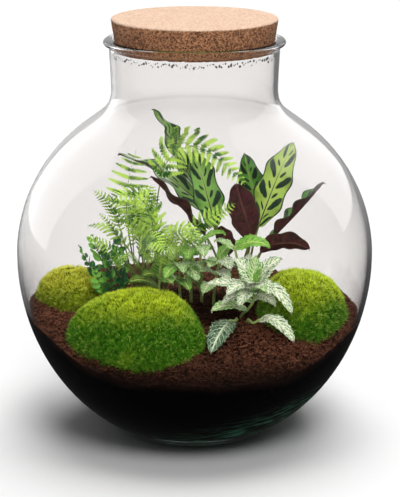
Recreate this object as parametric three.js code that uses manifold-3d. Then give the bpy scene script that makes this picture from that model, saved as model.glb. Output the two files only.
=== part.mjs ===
// A closed plant terrarium: a blown glass jar with a cork stopper, a bank of potting soil, three
// cushions of moss, and four kinds of plant rooted in the soil: a prayer plant with long rippled
// leaves, a feathery fern, a white-veined nerve plant and a small-leaved creeper.
// Millimetres, +Z up. The origin is the middle of the jar's foot, and the front looks along -Y.
import * as THREE from "three";
import { mergeVertices } from "three/addons/utils/BufferGeometryUtils.js";
import Module from "manifold-3d";

const wasm = await Module();
wasm.setup();

// Driving sizes of the jar.
const BELLY_RADIUS = 150;
const BELLY_HEIGHT = 153.5;
const LOWER_HALF = 166.2; // the body below the belly is half an ellipse of this half height
const UPPER_HALF = 140.8;
const WALL = 3.6;
const FLOOR_TOP = 9;
const FOOT_DISH = 2.4; // the middle of the foot is hollowed, so the jar stands on a ring
const FOOT_INNER_RADIUS = 43.5;
const FOOT_RADIUS = 55;
const NECK_RADIUS = 70.6;
const NECK_WAIST = 69; // the narrowest place, where the neck leaves the shoulder
const MOUTH_RADIUS = 66.7;
const LIP_RADIUS = 75.4;
const LIP_HEIGHT = 7;
const LIP_ROUND = 1.5;
const RIM_TOP = 335.7;
const JAR_SIDES = 36;
const WALL_STEPS = 9;

// The stopper is a tapered disc of ground cork, wedged in the mouth.
const CORK_TOP = 353.4;
const CORK_BOTTOM = 324.7;
const CORK_TOP_RADIUS = 69;
const CORK_BOTTOM_RADIUS = 65.3;
const CORK_EDGE = 1.2;

// The soil is level at the back and falls in a bank towards the front glass.
const SOIL_LEVEL = 108;
const BANK_DROP = 29;
const BANK_TOP_Y = -50;
const BANK_FOOT_Y = -128;
const SOIL_LEAN = -0.025; // the left side is heaped a little higher than the right
const SOIL_TOP_ROWS = 7;
const SOIL_WALL_ROWS = 4;
const SOIL_REACH = 140; // about where the top of the soil meets the glass
const CRUMB = 1.3;
const ROOT_DEPTH = 14;
const ROOT_STRAIGHT = 4; // a stalk stands upright from below the surface to just above it
const ROOT_HOLE_SLACK = 0.9; // a root's hole is this much wider than the stalk

const GAP = 0.35; // clearance between pieces that touch
const LEAF_THICKNESS = 0.7;
const LEAF_TIP = 0.5; // half the width left at a blade's base and tip
const END_SHARE = 0.004; // how near to its ends a leaf's outline is read

const vector = (point) => new THREE.Vector3(...point);
const smoothStep = (t) => THREE.MathUtils.smoothstep(t, 0, 1);

// Solids and sheets.

function bare(geometry) {
  const plain = geometry.clone();
  plain.deleteAttribute("normal");
  plain.deleteAttribute("uv");
  return mergeVertices(plain, 1e-3);
}

function manifoldOf(vertProperties, triVerts) {
  return new wasm.Manifold(new wasm.Mesh({ numProp: 3, vertProperties, triVerts }));
}

function solidOf(geometry) {
  const merged = bare(geometry);
  return manifoldOf(merged.attributes.position.array, new Uint32Array(merged.index.array));
}

function geometryOf(solid) {
  const mesh = solid.getMesh();
  const geometry = new THREE.BufferGeometry();
  geometry.setAttribute("position", new THREE.BufferAttribute(mesh.vertProperties, 3));
  geometry.setIndex(new THREE.BufferAttribute(mesh.triVerts, 1));
  geometry.computeVertexNormals();
  return geometry;
}

// Moves every vertex of a flat sheet or a block to where the place function puts it.
function shaped(geometry, place) {
  const merged = bare(geometry);
  const position = merged.attributes.position;
  for (let i = 0; i < position.count; i++) {
    const p = place(position.getX(i), position.getY(i), position.getZ(i));
    position.setXYZ(i, p.x, p.y, p.z);
  }
  return merged;
}

// Gives an open sheet a thickness: the same triangles on both faces and a wall round its edge.
function thicken(sheet, thickness) {
  sheet.computeVertexNormals();
  const { position, normal } = sheet.attributes;
  const triangles = sheet.index.array;
  const count = position.count;
  const vertices = new Float32Array(count * 6);
  const faces = [];
  const open = new Map();
  for (let i = 0; i < count; i++) {
    for (let axis = 0; axis < 3; axis++) {
      const middle = position.getComponent(i, axis);
      const half = (normal.getComponent(i, axis) * thickness) / 2;
      vertices[i * 3 + axis] = middle + half;
      vertices[(count + i) * 3 + axis] = middle - half;
    }
  }
  for (let t = 0; t < triangles.length; t += 3) {
    const [a, b, c] = triangles.slice(t, t + 3);
    faces.push(a, b, c, c + count, b + count, a + count);
    for (const [from, to] of [[a, b], [b, c], [c, a]]) {
      if (!open.delete(`${to},${from}`)) open.set(`${from},${to}`, [from, to]);
    }
  }
  for (const [from, to] of open.values()) {
    faces.push(to, from, from + count, to, from + count, to + count);
  }
  return manifoldOf(vertices, new Uint32Array(faces));
}

function curveThrough(points) {
  return new THREE.CatmullRomCurve3(points.map(vector), false, "centripetal");
}

function stalk(points, radius, steps, sides = 5) {
  const corners = Array.from({ length: sides }, (_, i) => {
    const angle = (2 * Math.PI * i) / sides;
    return new THREE.Vector2(radius * Math.cos(angle), radius * Math.sin(angle));
  });
  const options = { steps, bevelEnabled: false, extrudePath: curveThrough(points) };
  return solidOf(new THREE.ExtrudeGeometry(new THREE.Shape(corners), options));
}

// A repeatable stream of numbers from 0 to 1.
function seeded(seed) {
  let state = seed;
  return () => {
    state = (state * 16807) % 2147483647;
    return state / 2147483647;
  };
}

// The half width of a leaf at the share s of its length, with the widest place set by the powers.
function leafWidth(s, basePower, tipPower) {
  const widest = basePower / (basePower + tipPower);
  const most = widest ** basePower * (1 - widest) ** tipPower;
  const t = THREE.MathUtils.clamp(s, END_SHARE, 1 - END_SHARE);
  return (t ** basePower * (1 - t) ** tipPower) / most;
}

// The frame of a leaf that follows a rib: its place, its side and its upper face.
function ribFrame(rib, faceAtBase, faceAtTip, s) {
  const along = THREE.MathUtils.clamp(s, 0, 1);
  const tangent = rib.getTangentAt(along);
  const face = vector(faceAtBase).lerp(vector(faceAtTip), along);
  face.addScaledVector(tangent, -face.dot(tangent)).normalize();
  const side = new THREE.Vector3().crossVectors(tangent, face);
  return { place: rib.getPointAt(along), face, side };
}

// Glass jar.

// Points up an elliptical side, from one height to another, evenly spaced by angle.
function sideProfile(fromZ, toZ, inset, steps) {
  const angleAt = (z) => {
    const half = z < BELLY_HEIGHT ? LOWER_HALF : UPPER_HALF;
    return Math.asin((z - BELLY_HEIGHT) / (half - inset));
  };
  const from = angleAt(fromZ);
  const to = angleAt(toZ);
  return Array.from({ length: steps + 1 }, (_, i) => {
    const angle = from + ((to - from) * i) / steps;
    const half = angle < 0 ? LOWER_HALF : UPPER_HALF;
    const z = BELLY_HEIGHT + (half - inset) * Math.sin(angle);
    return new THREE.Vector2((BELLY_RADIUS - inset) * Math.cos(angle), z);
  });
}

function shoulderHeight(radius, inset) {
  const share = radius / (BELLY_RADIUS - inset);
  return BELLY_HEIGHT + (UPPER_HALF - inset) * Math.sqrt(1 - share * share);
}

const INNER_SHOULDER = shoulderHeight(MOUTH_RADIUS + 1, WALL);

function turned(profile) {
  return solidOf(new THREE.LatheGeometry(profile, JAR_SIDES).rotateX(Math.PI / 2));
}

function glassJar() {
  const point = (r, z) => new THREE.Vector2(r, z);
  const outerShoulder = shoulderHeight(NECK_WAIST + 3, 0);
  const foot = [point(0, FOOT_DISH), point(FOOT_INNER_RADIUS - 3, FOOT_DISH), point(FOOT_INNER_RADIUS, 0)];
  const outside = sideProfile(FOOT_DISH, outerShoulder, 0, WALL_STEPS);
  const neck = [point(NECK_WAIST, outerShoulder + 4), point(NECK_RADIUS, RIM_TOP - LIP_HEIGHT)];
  const lip = [
    point(LIP_RADIUS - LIP_ROUND, RIM_TOP - 0.65 * LIP_HEIGHT),
    point(LIP_RADIUS, RIM_TOP - 0.35 * LIP_HEIGHT),
    point(LIP_RADIUS - LIP_ROUND, RIM_TOP),
    point(MOUTH_RADIUS + LIP_ROUND, RIM_TOP),
    point(MOUTH_RADIUS, RIM_TOP - LIP_ROUND),
  ];
  const bore = [
    point(MOUTH_RADIUS, CORK_BOTTOM - 1),
    point(MOUTH_RADIUS - LIP_ROUND, INNER_SHOULDER + 3),
  ];
  const inside = insideProfile().reverse();
  return turned([...foot, point(FOOT_RADIUS, 0), ...outside, ...neck, ...lip, ...bore, ...inside]);
}

// The inner wall from the middle of the floor up to the shoulder.
function insideProfile() {
  const floor = [new THREE.Vector2(0, FLOOR_TOP), new THREE.Vector2(FOOT_RADIUS - 5, FLOOR_TOP)];
  return [...floor, ...sideProfile(FLOOR_TOP + 3, INNER_SHOULDER, WALL, WALL_STEPS)];
}

// Cork stopper.

function corkStopper() {
  return turned([
    new THREE.Vector2(0, CORK_BOTTOM),
    new THREE.Vector2(CORK_BOTTOM_RADIUS - CORK_EDGE, CORK_BOTTOM),
    new THREE.Vector2(CORK_BOTTOM_RADIUS, CORK_BOTTOM + CORK_EDGE),
    new THREE.Vector2(CORK_TOP_RADIUS, CORK_TOP - CORK_EDGE),
    new THREE.Vector2(CORK_TOP_RADIUS - CORK_EDGE, CORK_TOP),
    new THREE.Vector2(0, CORK_TOP),
  ]);
}

// Soil.

function soilHeight(x, y) {
  const bank = BANK_DROP * smoothStep((BANK_TOP_Y - y) / (BANK_TOP_Y - BANK_FOOT_Y));
  const swells = 1.6 * Math.sin(x / 23 + 1) * Math.cos(y / 19) + 1.1 * Math.sin(x / 11 - y / 14);
  return SOIL_LEVEL - bank + SOIL_LEAN * x + swells;
}

// The inner wall's radius at a height, less the clearance that the soil keeps.
function clearRadius(z) {
  const wall = insideProfile().slice(1);
  const next = Math.max(1, wall.findIndex((p) => p.y + GAP > z));
  const [low, high] = [wall[next - 1], wall[next]];
  const share = (z - GAP - low.y) / (high.y - low.y);
  return THREE.MathUtils.lerp(low.x, high.x, share) - GAP;
}

// A ball drawn out to fill the jar: its upper rows are the top, its lower rows follow the glass.
function pottingSoil(cutters) {
  const random = seeded(7);
  const rows = SOIL_TOP_ROWS + SOIL_WALL_ROWS + 1;
  const floor = FLOOR_TOP + GAP;
  const ball = new THREE.SphereGeometry(1, JAR_SIDES, rows).rotateX(Math.PI / 2);
  const heap = shaped(ball, (x, y, z) => {
    const row = Math.round((Math.acos(z) / Math.PI) * rows);
    const around = Math.atan2(y, x);
    const crumb = CRUMB * (2 * random() - 1);
    const edge = soilHeight(SOIL_REACH * Math.cos(around), SOIL_REACH * Math.sin(around));
    const down = Math.max(0, row - SOIL_TOP_ROWS) / SOIL_WALL_ROWS;
    const height = THREE.MathUtils.lerp(edge, floor, Math.min(1, down));
    const inward = row < SOIL_TOP_ROWS ? row / SOIL_TOP_ROWS : 1;
    const radius = row === rows ? 0 : clearRadius(height) * inward;
    const place = new THREE.Vector3(radius * Math.cos(around), radius * Math.sin(around), height);
    if (row < SOIL_TOP_ROWS) place.z = soilHeight(place.x, place.y) + crumb;
    return place;
  });
  return largest(cutters.reduce((soil, cutter) => soil.subtract(cutter), solidOf(heap)));
}

function largest(solid) {
  return solid.decompose().reduce((a, b) => (a.volume() > b.volume() ? a : b));
}

// Moss cushions: middle, half length, half width and height above the soil.
const MOSS = [
  { name: "moss_cushion_left", at: [-104, 1], half: [32, 35], height: 30, seed: 11 },
  { name: "moss_cushion_front", at: [-45, -71], half: [57, 40], height: 33, seed: 23 },
  { name: "moss_cushion_right", at: [90, -34], half: [39, 45], height: 44, seed: 37 },
];
const MOSS_CLEARANCE = 0.5;
const MOSS_SINK = 2;
const MOSS_DEPTH = 7;
const MOSS_TUFT = 1;
const MOSS_FULLNESS = 0.85; // below 1 the pillow's flanks bulge
const MOSS_SIDES = 24;
const MOSS_TOP_ROWS = 6;
const MOSS_ROWS = MOSS_TOP_ROWS + 2;

// A pillow that follows the soil under it. As a cutter it is grown by a clearance and has an
// upright wall, so it opens the soil for the pillow to sit in.
function mossSolid({ at, half, height, seed }, clearance = 0) {
  const random = seeded(seed);
  const ball = new THREE.SphereGeometry(1, MOSS_SIDES, MOSS_ROWS).rotateX(Math.PI / 2);
  return solidOf(
    shaped(ball, (x, y, z) => {
      const row = Math.round((Math.acos(z) / Math.PI) * MOSS_ROWS);
      const rise = Math.max(0, MOSS_TOP_ROWS - row) / MOSS_TOP_ROWS;
      const fall = Math.max(0, row - MOSS_TOP_ROWS) / (MOSS_ROWS - MOSS_TOP_ROWS);
      const around = Math.atan2(y, x);
      const lobes = 1 + 0.04 * Math.sin(3 * around + seed) + 0.03 * Math.cos(5 * around - seed);
      const dome = Math.cos((Math.PI / 2) * Math.max(rise, fall)) ** MOSS_FULLNESS;
      const out = clearance && rise > 0 && rise < 1 ? 1 : dome;
      const tuft = rise > 0 && !clearance ? MOSS_TUFT * (2 * random() - 1) : 0;
      const place = new THREE.Vector3(at[0], at[1], 0);
      place.x += (half[0] * lobes + clearance + tuft) * out * Math.cos(around);
      place.y += (half[1] * lobes + clearance + tuft) * out * Math.sin(around);
      const up = clearance ? Math.sign(rise) * 2 * MOSS_DEPTH : height * Math.sin((Math.PI / 2) * rise);
      const down = (MOSS_DEPTH + clearance) * Math.sin((Math.PI / 2) * fall);
      place.z = soilHeight(place.x, place.y) - MOSS_SINK + up + tuft - down;
      return place;
    }),
  );
}

// Plants. Each stalk starts at a root in the soil, and its path is a list of places in the jar.

function rootedPath([x, y], path) {
  const ground = soilHeight(x, y);
  const upright = [ground - ROOT_DEPTH, ground - ROOT_STRAIGHT, ground + ROOT_STRAIGHT - 1];
  return [...upright.map((z) => [x, y, z]), ...path];
}

// The plain upright hole that a stalk stands in, wide enough for the stalk's first lean.
function rootHole([x, y], radius) {
  const ground = soilHeight(x, y);
  const ends = [[x, y, ground - ROOT_DEPTH - GAP], [x, y, ground + ROOT_DEPTH / 2]];
  return stalk(ends, radius + ROOT_HOLE_SLACK, 1, 6);
}

const RIPPLE_SHIFT = 1.9; // one edge's ripples run this far ahead of the other's

// A leaf blade along a rib, with its edges rippled and its two halves folded up from the rib.
function blade({ rib, halfWidth, face, fold = 0.2, ripple = 0, ripples = 3, powers, cells }) {
  const curve = curveThrough(rib);
  const [across, along] = cells;
  const sheet = shaped(new THREE.PlaneGeometry(2, 1, across, along), (u, v) => {
    const s = v + 0.5;
    const { place, face: up, side } = ribFrame(curve, face[0], face[1], s);
    const width = Math.max(halfWidth * leafWidth(s, ...powers), LEAF_TIP);
    const reach = u * width * Math.cos(fold);
    const wave = ripple * Math.sin(2 * Math.PI * ripples * s + (u > 0 ? RIPPLE_SHIFT : 0));
    const rise = Math.abs(u) * width * Math.sin(fold) + (wave * u * u * width) / halfWidth;
    return place.addScaledVector(side, reach).addScaledVector(up, rise);
  });
  return thicken(sheet, LEAF_THICKNESS);
}

// Prayer plant: long leaves on thin stalks, round one crown behind the middle.
const PRAYER_STALK = 1.2;
const PRAYER_POWERS = [0.62, 0.7];
const PRAYER_LEAVES = [
  {
    root: [25, 31],
    path: [[17, 33, 168]],
    rib: [[2, 31, 200], [-14, 30, 232], [-24, 28, 252], [-35, 26, 272]],
    halfWidth: 8.5,
    face: [[0.5, -0.8, 0.3], [0.75, -0.5, 0.4]],
    ripple: 3,
  },
  {
    root: [29, 24],
    path: [[25, 19, 146]],
    rib: [[18, 13, 172], [13, 8, 192], [7, 4, 216], [-1, 0, 242]],
    halfWidth: 12.5,
    face: [[0.1, -1, 0.25], [0.3, -0.9, 0.3]],
    ripple: 2.2,
  },
  {
    root: [31, 38],
    path: [[24, 45, 153]],
    rib: [[12, 47, 178], [-12, 46, 200], [-38, 42, 218], [-65, 34, 232]],
    halfWidth: 11,
    face: [[-0.2, -0.9, 0.5], [0.5, 0.3, 0.8]],
    ripple: 2.6,
  },
  {
    root: [25, 17],
    path: [[19, 8, 146]],
    rib: [[9, 2, 168], [-4, 0, 185], [-20, -3, 203], [-36, -6, 221]],
    halfWidth: 10,
    face: [[0.75, 0.5, 0.5], [0.75, 0.5, 0.5]],
    ripple: 2.6,
    ripples: 2.5,
  },
  {
    root: [38, 38],
    path: [[46, 46, 143]],
    rib: [[54, 50, 164], [53, 51, 188], [48, 50, 208], [43, 46, 229]],
    halfWidth: 12,
    face: [[-0.1, -1, 0.2], [0.1, -1, 0.2]],
    ripple: 1.8,
  },
  {
    root: [37, 15],
    path: [[44, 2, 144]],
    rib: [[47, -5, 165], [44, -10, 182], [39, -16, 200], [34, -22, 218]],
    halfWidth: 13,
    face: [[-0.25, 0.95, 0.3], [-0.25, 0.95, 0.3]],
    ripple: 1.6,
    fold: 0.3,
  },
  {
    root: [44, 30],
    path: [[50, 31, 147]],
    rib: [[55, 30, 168], [64, 28, 194], [73, 27, 218], [84, 26, 243]],
    halfWidth: 14,
    face: [[-0.2, -1, 0.2], [-0.15, -1, 0.2]],
    ripple: 2,
  },
  {
    root: [46, 22],
    path: [[53, 16, 140]],
    rib: [[62, 13, 158], [76, 9, 174], [92, 5, 193], [108, 2, 214]],
    halfWidth: 11,
    face: [[-0.7, 0.25, 0.65], [-0.75, 0.1, 0.65]],
    ripple: 2.6,
    fold: 0.55,
  },
  {
    root: [43, 14],
    path: [[50, 4, 138]],
    rib: [[56, -2, 154], [68, -6, 162], [82, -9, 164], [97, -12, 160]],
    halfWidth: 10,
    face: [[-0.1, 0.75, 0.6], [0, 0.7, 0.7]],
    ripple: 1.2,
    fold: 0.35,
  },
  {
    root: [32, 13],
    path: [[31, 2, 138]],
    rib: [[29, -3, 152], [27, -6, 161], [25, -10, 170], [22, -14, 180]],
    halfWidth: 8,
    face: [[0.2, 0.9, 0.4], [0.2, 0.9, 0.4]],
    ripple: 1,
  },
];

function prayerLeaf(leaf) {
  const path = [...leaf.path, leaf.rib[0]];
  const foot = stalk(rootedPath(leaf.root, path), PRAYER_STALK, 5);
  const green = blade({ ...leaf, powers: PRAYER_POWERS, cells: [4, 7] });
  return { solid: foot.add(green), hole: rootHole(leaf.root, PRAYER_STALK) };
}

// Fern: arching fronds, each one arched blade whose outline is cut to the rib into leaflets.
const FERN_STALK = 0.9;
const FERN_CUT = {
  rib: 0.9,
  slant: 0.28,
  root: 0.27,
  belly: 0.3,
  tip: 0,
  droop: 0.16,
  powers: [0.42, 0.8],
};
const SHORT_REACH = 7.2; // shorter leaflets have a plain upper edge
const BELLY_AT = 0.45; // where a leaflet is widest, as a share of its length
const FERN_FRONDS = [
  {
    root: [-34, 13],
    path: [[-34, 11, 150]],
    rib: [[-33, 9, 178], [-28, 6, 216], [-14, 2, 243], [10, -3, 243], [29, -9, 228], [43, -14, 214]],
    reach: 19,
    pairs: 14,
    face: [[0.1, -0.9, 0.45], [0.3, -0.6, 0.75]],
  },
  {
    root: [-46, 14],
    path: [[-54, 16, 150]],
    rib: [[-57, 16, 172], [-58, 15, 196], [-55, 13, 218], [-49, 11, 240]],
    reach: 22,
    pairs: 7,
    face: [[-0.1, -0.95, 0.3], [0, -0.95, 0.3]],
  },
  {
    root: [-38, -4],
    path: [[-34, -8, 140]],
    rib: [[-33, -11, 162], [-38, -16, 194], [-52, -23, 209], [-72, -32, 208]],
    reach: 13,
    pairs: 9,
    face: [[-0.3, -0.8, 0.5], [-0.2, -0.5, 0.85]],
  },
  {
    root: [-50, 7],
    path: [[-56, 2, 144]],
    rib: [[-62, -4, 172], [-68, -10, 192], [-75, -15, 204], [-84, -20, 212]],
    reach: 7,
    pairs: 8,
    face: [[-0.3, -0.85, 0.4], [-0.3, -0.85, 0.4]],
  },
  {
    root: [-47, -4],
    path: [[-52, -14, 136]],
    rib: [[-58, -22, 150], [-68, -28, 163], [-79, -33, 171], [-90, -37, 177]],
    reach: 6,
    pairs: 8,
    face: [[0.1, -0.85, 0.5], [0.1, -0.85, 0.5]],
  },
  {
    root: [-29, 5],
    path: [[-18, -2, 146]],
    rib: [[-10, -5, 163], [3, -10, 180], [18, -19, 191], [34, -28, 203]],
    reach: 9,
    pairs: 8,
    face: [[0.1, -0.95, 0.3], [0.1, -0.95, 0.3]],
  },
  {
    root: [-30, -4],
    path: [[-24, -12, 144]],
    rib: [[-21, -22, 163], [-15, -34, 178], [-5, -43, 183], [5, -52, 173]],
    reach: 10,
    pairs: 8,
    face: [[0.1, -0.9, 0.4], [0.5, -0.6, 0.6]],
  },
  {
    root: [-42, -8],
    path: [[-46, -16, 140]],
    rib: [[-46, -28, 158], [-41, -42, 172], [-33, -52, 177], [-24, -61, 170]],
    reach: 12,
    pairs: 8,
    face: [[-0.2, -0.8, 0.55], [0.2, -0.6, 0.8]],
  },
  {
    root: [-42, 5],
    path: [[-44, 4, 140]],
    rib: [[-45, 3, 160], [-44, 1, 180], [-41, -2, 198], [-36, -6, 214]],
    reach: 13,
    pairs: 8,
    face: [[0.1, -0.95, 0.3], [0.1, -0.95, 0.3]],
  },
  {
    root: [-40, 17],
    path: [[-42, 32, 140]],
    rib: [[-46, 42, 156], [-52, 56, 172], [-60, 70, 180], [-70, 84, 178]],
    reach: 13,
    pairs: 7,
    face: [[0, -0.6, 0.8], [0, -0.1, 1]],
  },
];

// A flat frond: a narrow rib, and on both sides its leaflets, cut apart down to the rib. The cut
// gives a leaflet's slant, its half widths at the rib, in the middle and at the tip as shares of
// the spacing, and the powers of the frond's own outline.
function flatFrond(length, reach, pairs, cut) {
  const spacing = length / (pairs + 0.5);
  const shapes = [];
  const add = (points) => shapes.push(new THREE.Shape(points.map(([x, y]) => new THREE.Vector2(x, y))));
  let below = 0;
  for (let i = 0; i < pairs; i++) {
    const long = reach * leafWidth((i + 0.9) / (pairs + 1), ...cut.powers);
    const middle = (i + 0.5) * spacing;
    const [low, high] = [middle - spacing * cut.root, middle + spacing * cut.root];
    add([[-cut.rib, below], [cut.rib, below], [cut.rib, low], [-cut.rib, low]]);
    add([[-cut.rib, low], [cut.rib, low], [cut.rib, high], [-cut.rib, high]]);
    for (const way of [-1, 1]) {
      const at = (out, along) => [
        way * (cut.rib + long * out),
        middle + spacing * along + cut.slant * long * out,
      ];
      const tip = cut.tip > 0 ? [at(1, -cut.tip), at(1, cut.tip)] : [at(1, 0)];
      const upper = reach < SHORT_REACH ? [] : [at(BELLY_AT, cut.belly)];
      add([at(0, -cut.root), at(BELLY_AT, -cut.belly), ...tip, ...upper, at(0, cut.root)]);
    }
    below = high;
  }
  add([[-cut.rib, below], [cut.rib, below], [0, length]]);
  return new THREE.ShapeGeometry(shapes);
}

function frond({ root, path, rib, reach, pairs, face, turn = 0 }, cut, radius) {
  const curve = curveThrough(rib);
  const length = curve.getLength();
  const sheet = shaped(flatFrond(length, reach, pairs, cut), (x, y) => {
    const { place, face: up, side } = ribFrame(curve, face[0], face[1], y / length);
    const droop = cut.droop * reach * (x / reach) ** 2;
    const twist = turn * (y / length);
    const across = side.clone().multiplyScalar(Math.cos(twist)).addScaledVector(up, Math.sin(twist));
    const out = up.clone().multiplyScalar(Math.cos(twist)).addScaledVector(side, -Math.sin(twist));
    return place.addScaledVector(across, x).addScaledVector(out, -droop);
  });
  const end = curve.getPointAt(0.05).toArray();
  const foot = stalk(rootedPath(root, [...path, rib[0], end]), radius, path.length ? 5 : 3, 4);
  return { solid: foot.add(thicken(sheet, LEAF_THICKNESS)), hole: rootHole(root, radius) };
}

// Creeper: sprigs with small blunt leaves in pairs.
const CREEPER_STALK = 0.7;
const CREEPER_CUT = {
  rib: 0.6,
  slant: 0.55,
  root: 0.1,
  belly: 0.3,
  tip: 0.13,
  droop: -0.1,
  powers: [0.3, 0.22],
};
const CREEPER_SPRIGS = [
  { root: [-68, -12], rib: [[-73, -15, 122], [-82, -19, 136], [-90, -21, 151], [-97, -20, 165]] },
  { root: [-65, -4], rib: [[-69, -6, 124], [-75, -9, 140], [-81, -11, 156], [-86, -12, 172]] },
  { root: [-62, -14], rib: [[-65, -17, 124], [-70, -21, 140], [-75, -24, 154], [-77, -25, 168]] },
  { root: [-59, -4], rib: [[-60, -4, 124], [-62, -3, 138], [-64, -1, 152], [-66, 1, 165]] },
  { root: [-57, -19], rib: [[-58, -21, 119], [-61, -23, 129], [-62, -24, 138], [-61, -24, 147]] },
  { root: [-66, -20], rib: [[-69, -24, 118], [-75, -30, 128], [-80, -33, 139], [-83, -34, 150]] },
];
const CREEPER_REACH = 7.5;
const CREEPER_PAIRS = 5;

function creeperSprig({ root, rib }, number) {
  const face = [[0.2, -0.8, 0.5], [0.2, -0.8, 0.5]];
  const turn = number % 2 ? 1.2 : -1.2;
  const sprig = { root, path: [], rib, reach: CREEPER_REACH, pairs: CREEPER_PAIRS, face, turn };
  return frond(sprig, CREEPER_CUT, CREEPER_STALK);
}

// Nerve plant: leafy stems. A leaf is the share of the stem where it grows, the place of its tip,
// how high it arches on the way, its half width, and for an upright leaf the way that it faces.
const NERVE_STALK = 1.3;
const NERVE_POWERS = [0.5, 0.72];
const NERVE_FACE = [0, -0.4, 1];
const NERVE_STEMS = [
  {
    root: [-12, -6],
    path: [[-13, -12, 132], [-12, -18, 150]],
    leaves: [
      [0.97, [-25, -37, 141], 3, 6],
      [0.97, [3, -34, 138], 4, 7],
      [0.97, [-9, -41, 147], 4, 6],
    ],
  },
  {
    root: [-3, -2],
    path: [[-3, -8, 140], [-1, -19, 165]],
    leaves: [
      [0.97, [-6, -38, 158], 4, 6.5],
      [0.95, [-17, -29, 157], 2, 6],
      [0.9, [14, -10, 160], 2, 5.5],
      [0.7, [-8, 4, 152], 4, 6],
    ],
  },
  {
    root: [6, -8],
    path: [[5, -16, 140], [5, -27, 172]],
    leaves: [
      [0.98, [25, -33, 179], 3, 4.5],
      [0.98, [-10, -32, 177], 3, 4.5],
      [0.95, [8, -46, 162], 3, 5.5],
      [0.6, [-8, -33, 142], 3, 5],
    ],
  },
  {
    root: [16, -12],
    path: [[18, -18, 134], [21, -25, 156]],
    leaves: [
      [0.97, [30, -44, 151], 3, 6.5],
      [0.97, [30, -14, 165], 2, 5],
      [0.95, [12, -42, 152], 3, 6],
      [0.7, [7, -47, 131], 3, 6.5],
    ],
  },
  {
    root: [39, -40],
    path: [[44, -47, 117], [49, -53, 128], [48, -56, 140]],
    leaves: [
      [0.98, [53, -60, 155], 1, 4],
      [0.98, [32, -52, 162], 4, 8.5],
      [0.98, [72, -50, 161], 4, 8.5],
      [0.95, [63, -76, 137], 6, 8],
      [0.88, [79, -76, 123], 13, 7.5],
      [0.95, [26, -75, 138], 6, 7.5],
      [0.88, [10, -60, 143], 4, 7.5],
      [0.6, [14, -66, 122], 4, 7],
    ],
  },
  {
    root: [38, -20],
    path: [[38, -22, 140], [33, -28, 166]],
    leaves: [
      [0.98, [63, -25, 165], 5, 8],
      [0.97, [17, -30, 172], 2, 4.5],
      [0.7, [57, -34, 148], 4, 6.5],
    ],
  },
  {
    root: [44, -54],
    path: [[48, -62, 110], [53, -68, 115]],
    leaves: [[0.96, [80, -88, 103], 8, 6.5]],
  },
  {
    root: [35, -50],
    path: [[33, -56, 110], [29, -61, 112]],
    leaves: [[0.96, [13, -99, 97], 4, 9.5]],
  },
  {
    root: [-30, -15],
    path: [[-30, -21, 126], [-29, -24, 138]],
    leaves: [
      [0.97, [-28, -20, 156], 0, 7.5, [0, -1, 0.2]],
      [0.97, [-43, -36, 143], 3, 6.5],
      [0.95, [-18, -34, 136], 2, 5.5],
      [0.8, [-55, -34, 137], 4, 6],
    ],
  },
];

function nerveLeaf(curve, [share, tip, arch, halfWidth, facing = NERVE_FACE]) {
  const way = vector(tip).sub(curve.getPoint(share));
  const from = curve.getPoint(share).addScaledVector(way, (0.4 * NERVE_STALK) / way.length());
  const at = (t) => {
    const place = from.clone().lerp(vector(tip), t);
    place.z += 4 * arch * t * (1 - t);
    return place.toArray();
  };
  const rib = [at(0), at(0.35), at(0.7), at(1)];
  return blade({ rib, halfWidth, face: [facing, facing], powers: NERVE_POWERS, cells: [2, 3] });
}

function nerveStem({ root, path, leaves }) {
  const points = rootedPath(root, path);
  const curve = curveThrough(points);
  const stem = stalk(points, NERVE_STALK, 4);
  const solid = leaves.reduce((whole, leaf) => whole.add(nerveLeaf(curve, leaf)), stem);
  return { solid, hole: rootHole(root, NERVE_STALK) };
}

// Finishes.

const finish = (color, roughness, metalness = 0) =>
  new THREE.MeshStandardMaterial({ color, roughness, metalness });
const GLASS = new THREE.MeshStandardMaterial({
  color: 0xe4ece8,
  roughness: 0.05,
  metalness: 0,
  transparent: true,
  opacity: 0.3,
});
const CORK = finish(0xc49a72, 0.9);
const SOIL = finish(0x2c1c15, 1);
const MOSS_GREEN = finish(0x7d9a22, 0.95);
const PRAYER_GREEN = finish(0x4f7d2c, 0.45);
const FERN_GREEN = finish(0x7fb347, 0.6);
const NERVE_GREEN = finish(0xb9d3a0, 0.5);
const CREEPER_GREEN = finish(0x2f6b35, 0.5);

// Assembly.

const terrarium = new THREE.Group();
terrarium.name = "plant_terrarium";

function addPiece(name, solid, material) {
  const mesh = new THREE.Mesh(geometryOf(solid), material);
  mesh.name = name;
  terrarium.add(mesh);
}

const numbered = (name, index) => `${name}_${String(index + 1).padStart(2, "0")}`;

function row(name, material, list, build) {
  return list.map((item, i) => ({ name: numbered(name, i), material, ...build(item, i) }));
}

const plants = [
  ...row("prayer_plant_leaf", PRAYER_GREEN, PRAYER_LEAVES, prayerLeaf),
  ...row("fern_frond", FERN_GREEN, FERN_FRONDS, (item) => frond(item, FERN_CUT, FERN_STALK)),
  ...row("nerve_plant_stem", NERVE_GREEN, NERVE_STEMS, nerveStem),
  ...row("creeper_sprig", CREEPER_GREEN, CREEPER_SPRIGS, creeperSprig),
];

addPiece("glass_jar", glassJar(), GLASS);
addPiece("cork_stopper", corkStopper(), CORK);
for (const cushion of MOSS) addPiece(cushion.name, mossSolid(cushion), MOSS_GREEN);
for (const plant of plants) addPiece(plant.name, plant.solid, plant.material);
const seats = MOSS.map((cushion) => mossSolid(cushion, MOSS_CLEARANCE));
addPiece("potting_soil", pottingSoil([...seats, ...plants.map((plant) => plant.hole)]), SOIL);

export default terrarium;
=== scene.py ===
"""A closed glass terrarium in full detail: jar, cork, potting soil, moss cushions and four kinds of plant.

Places and sizes are in millimetres, +Z up, with the middle of the jar's foot at the origin and the
front towards -Y. Each mesh is scaled to metres once, when its piece is added.
"""

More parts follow.
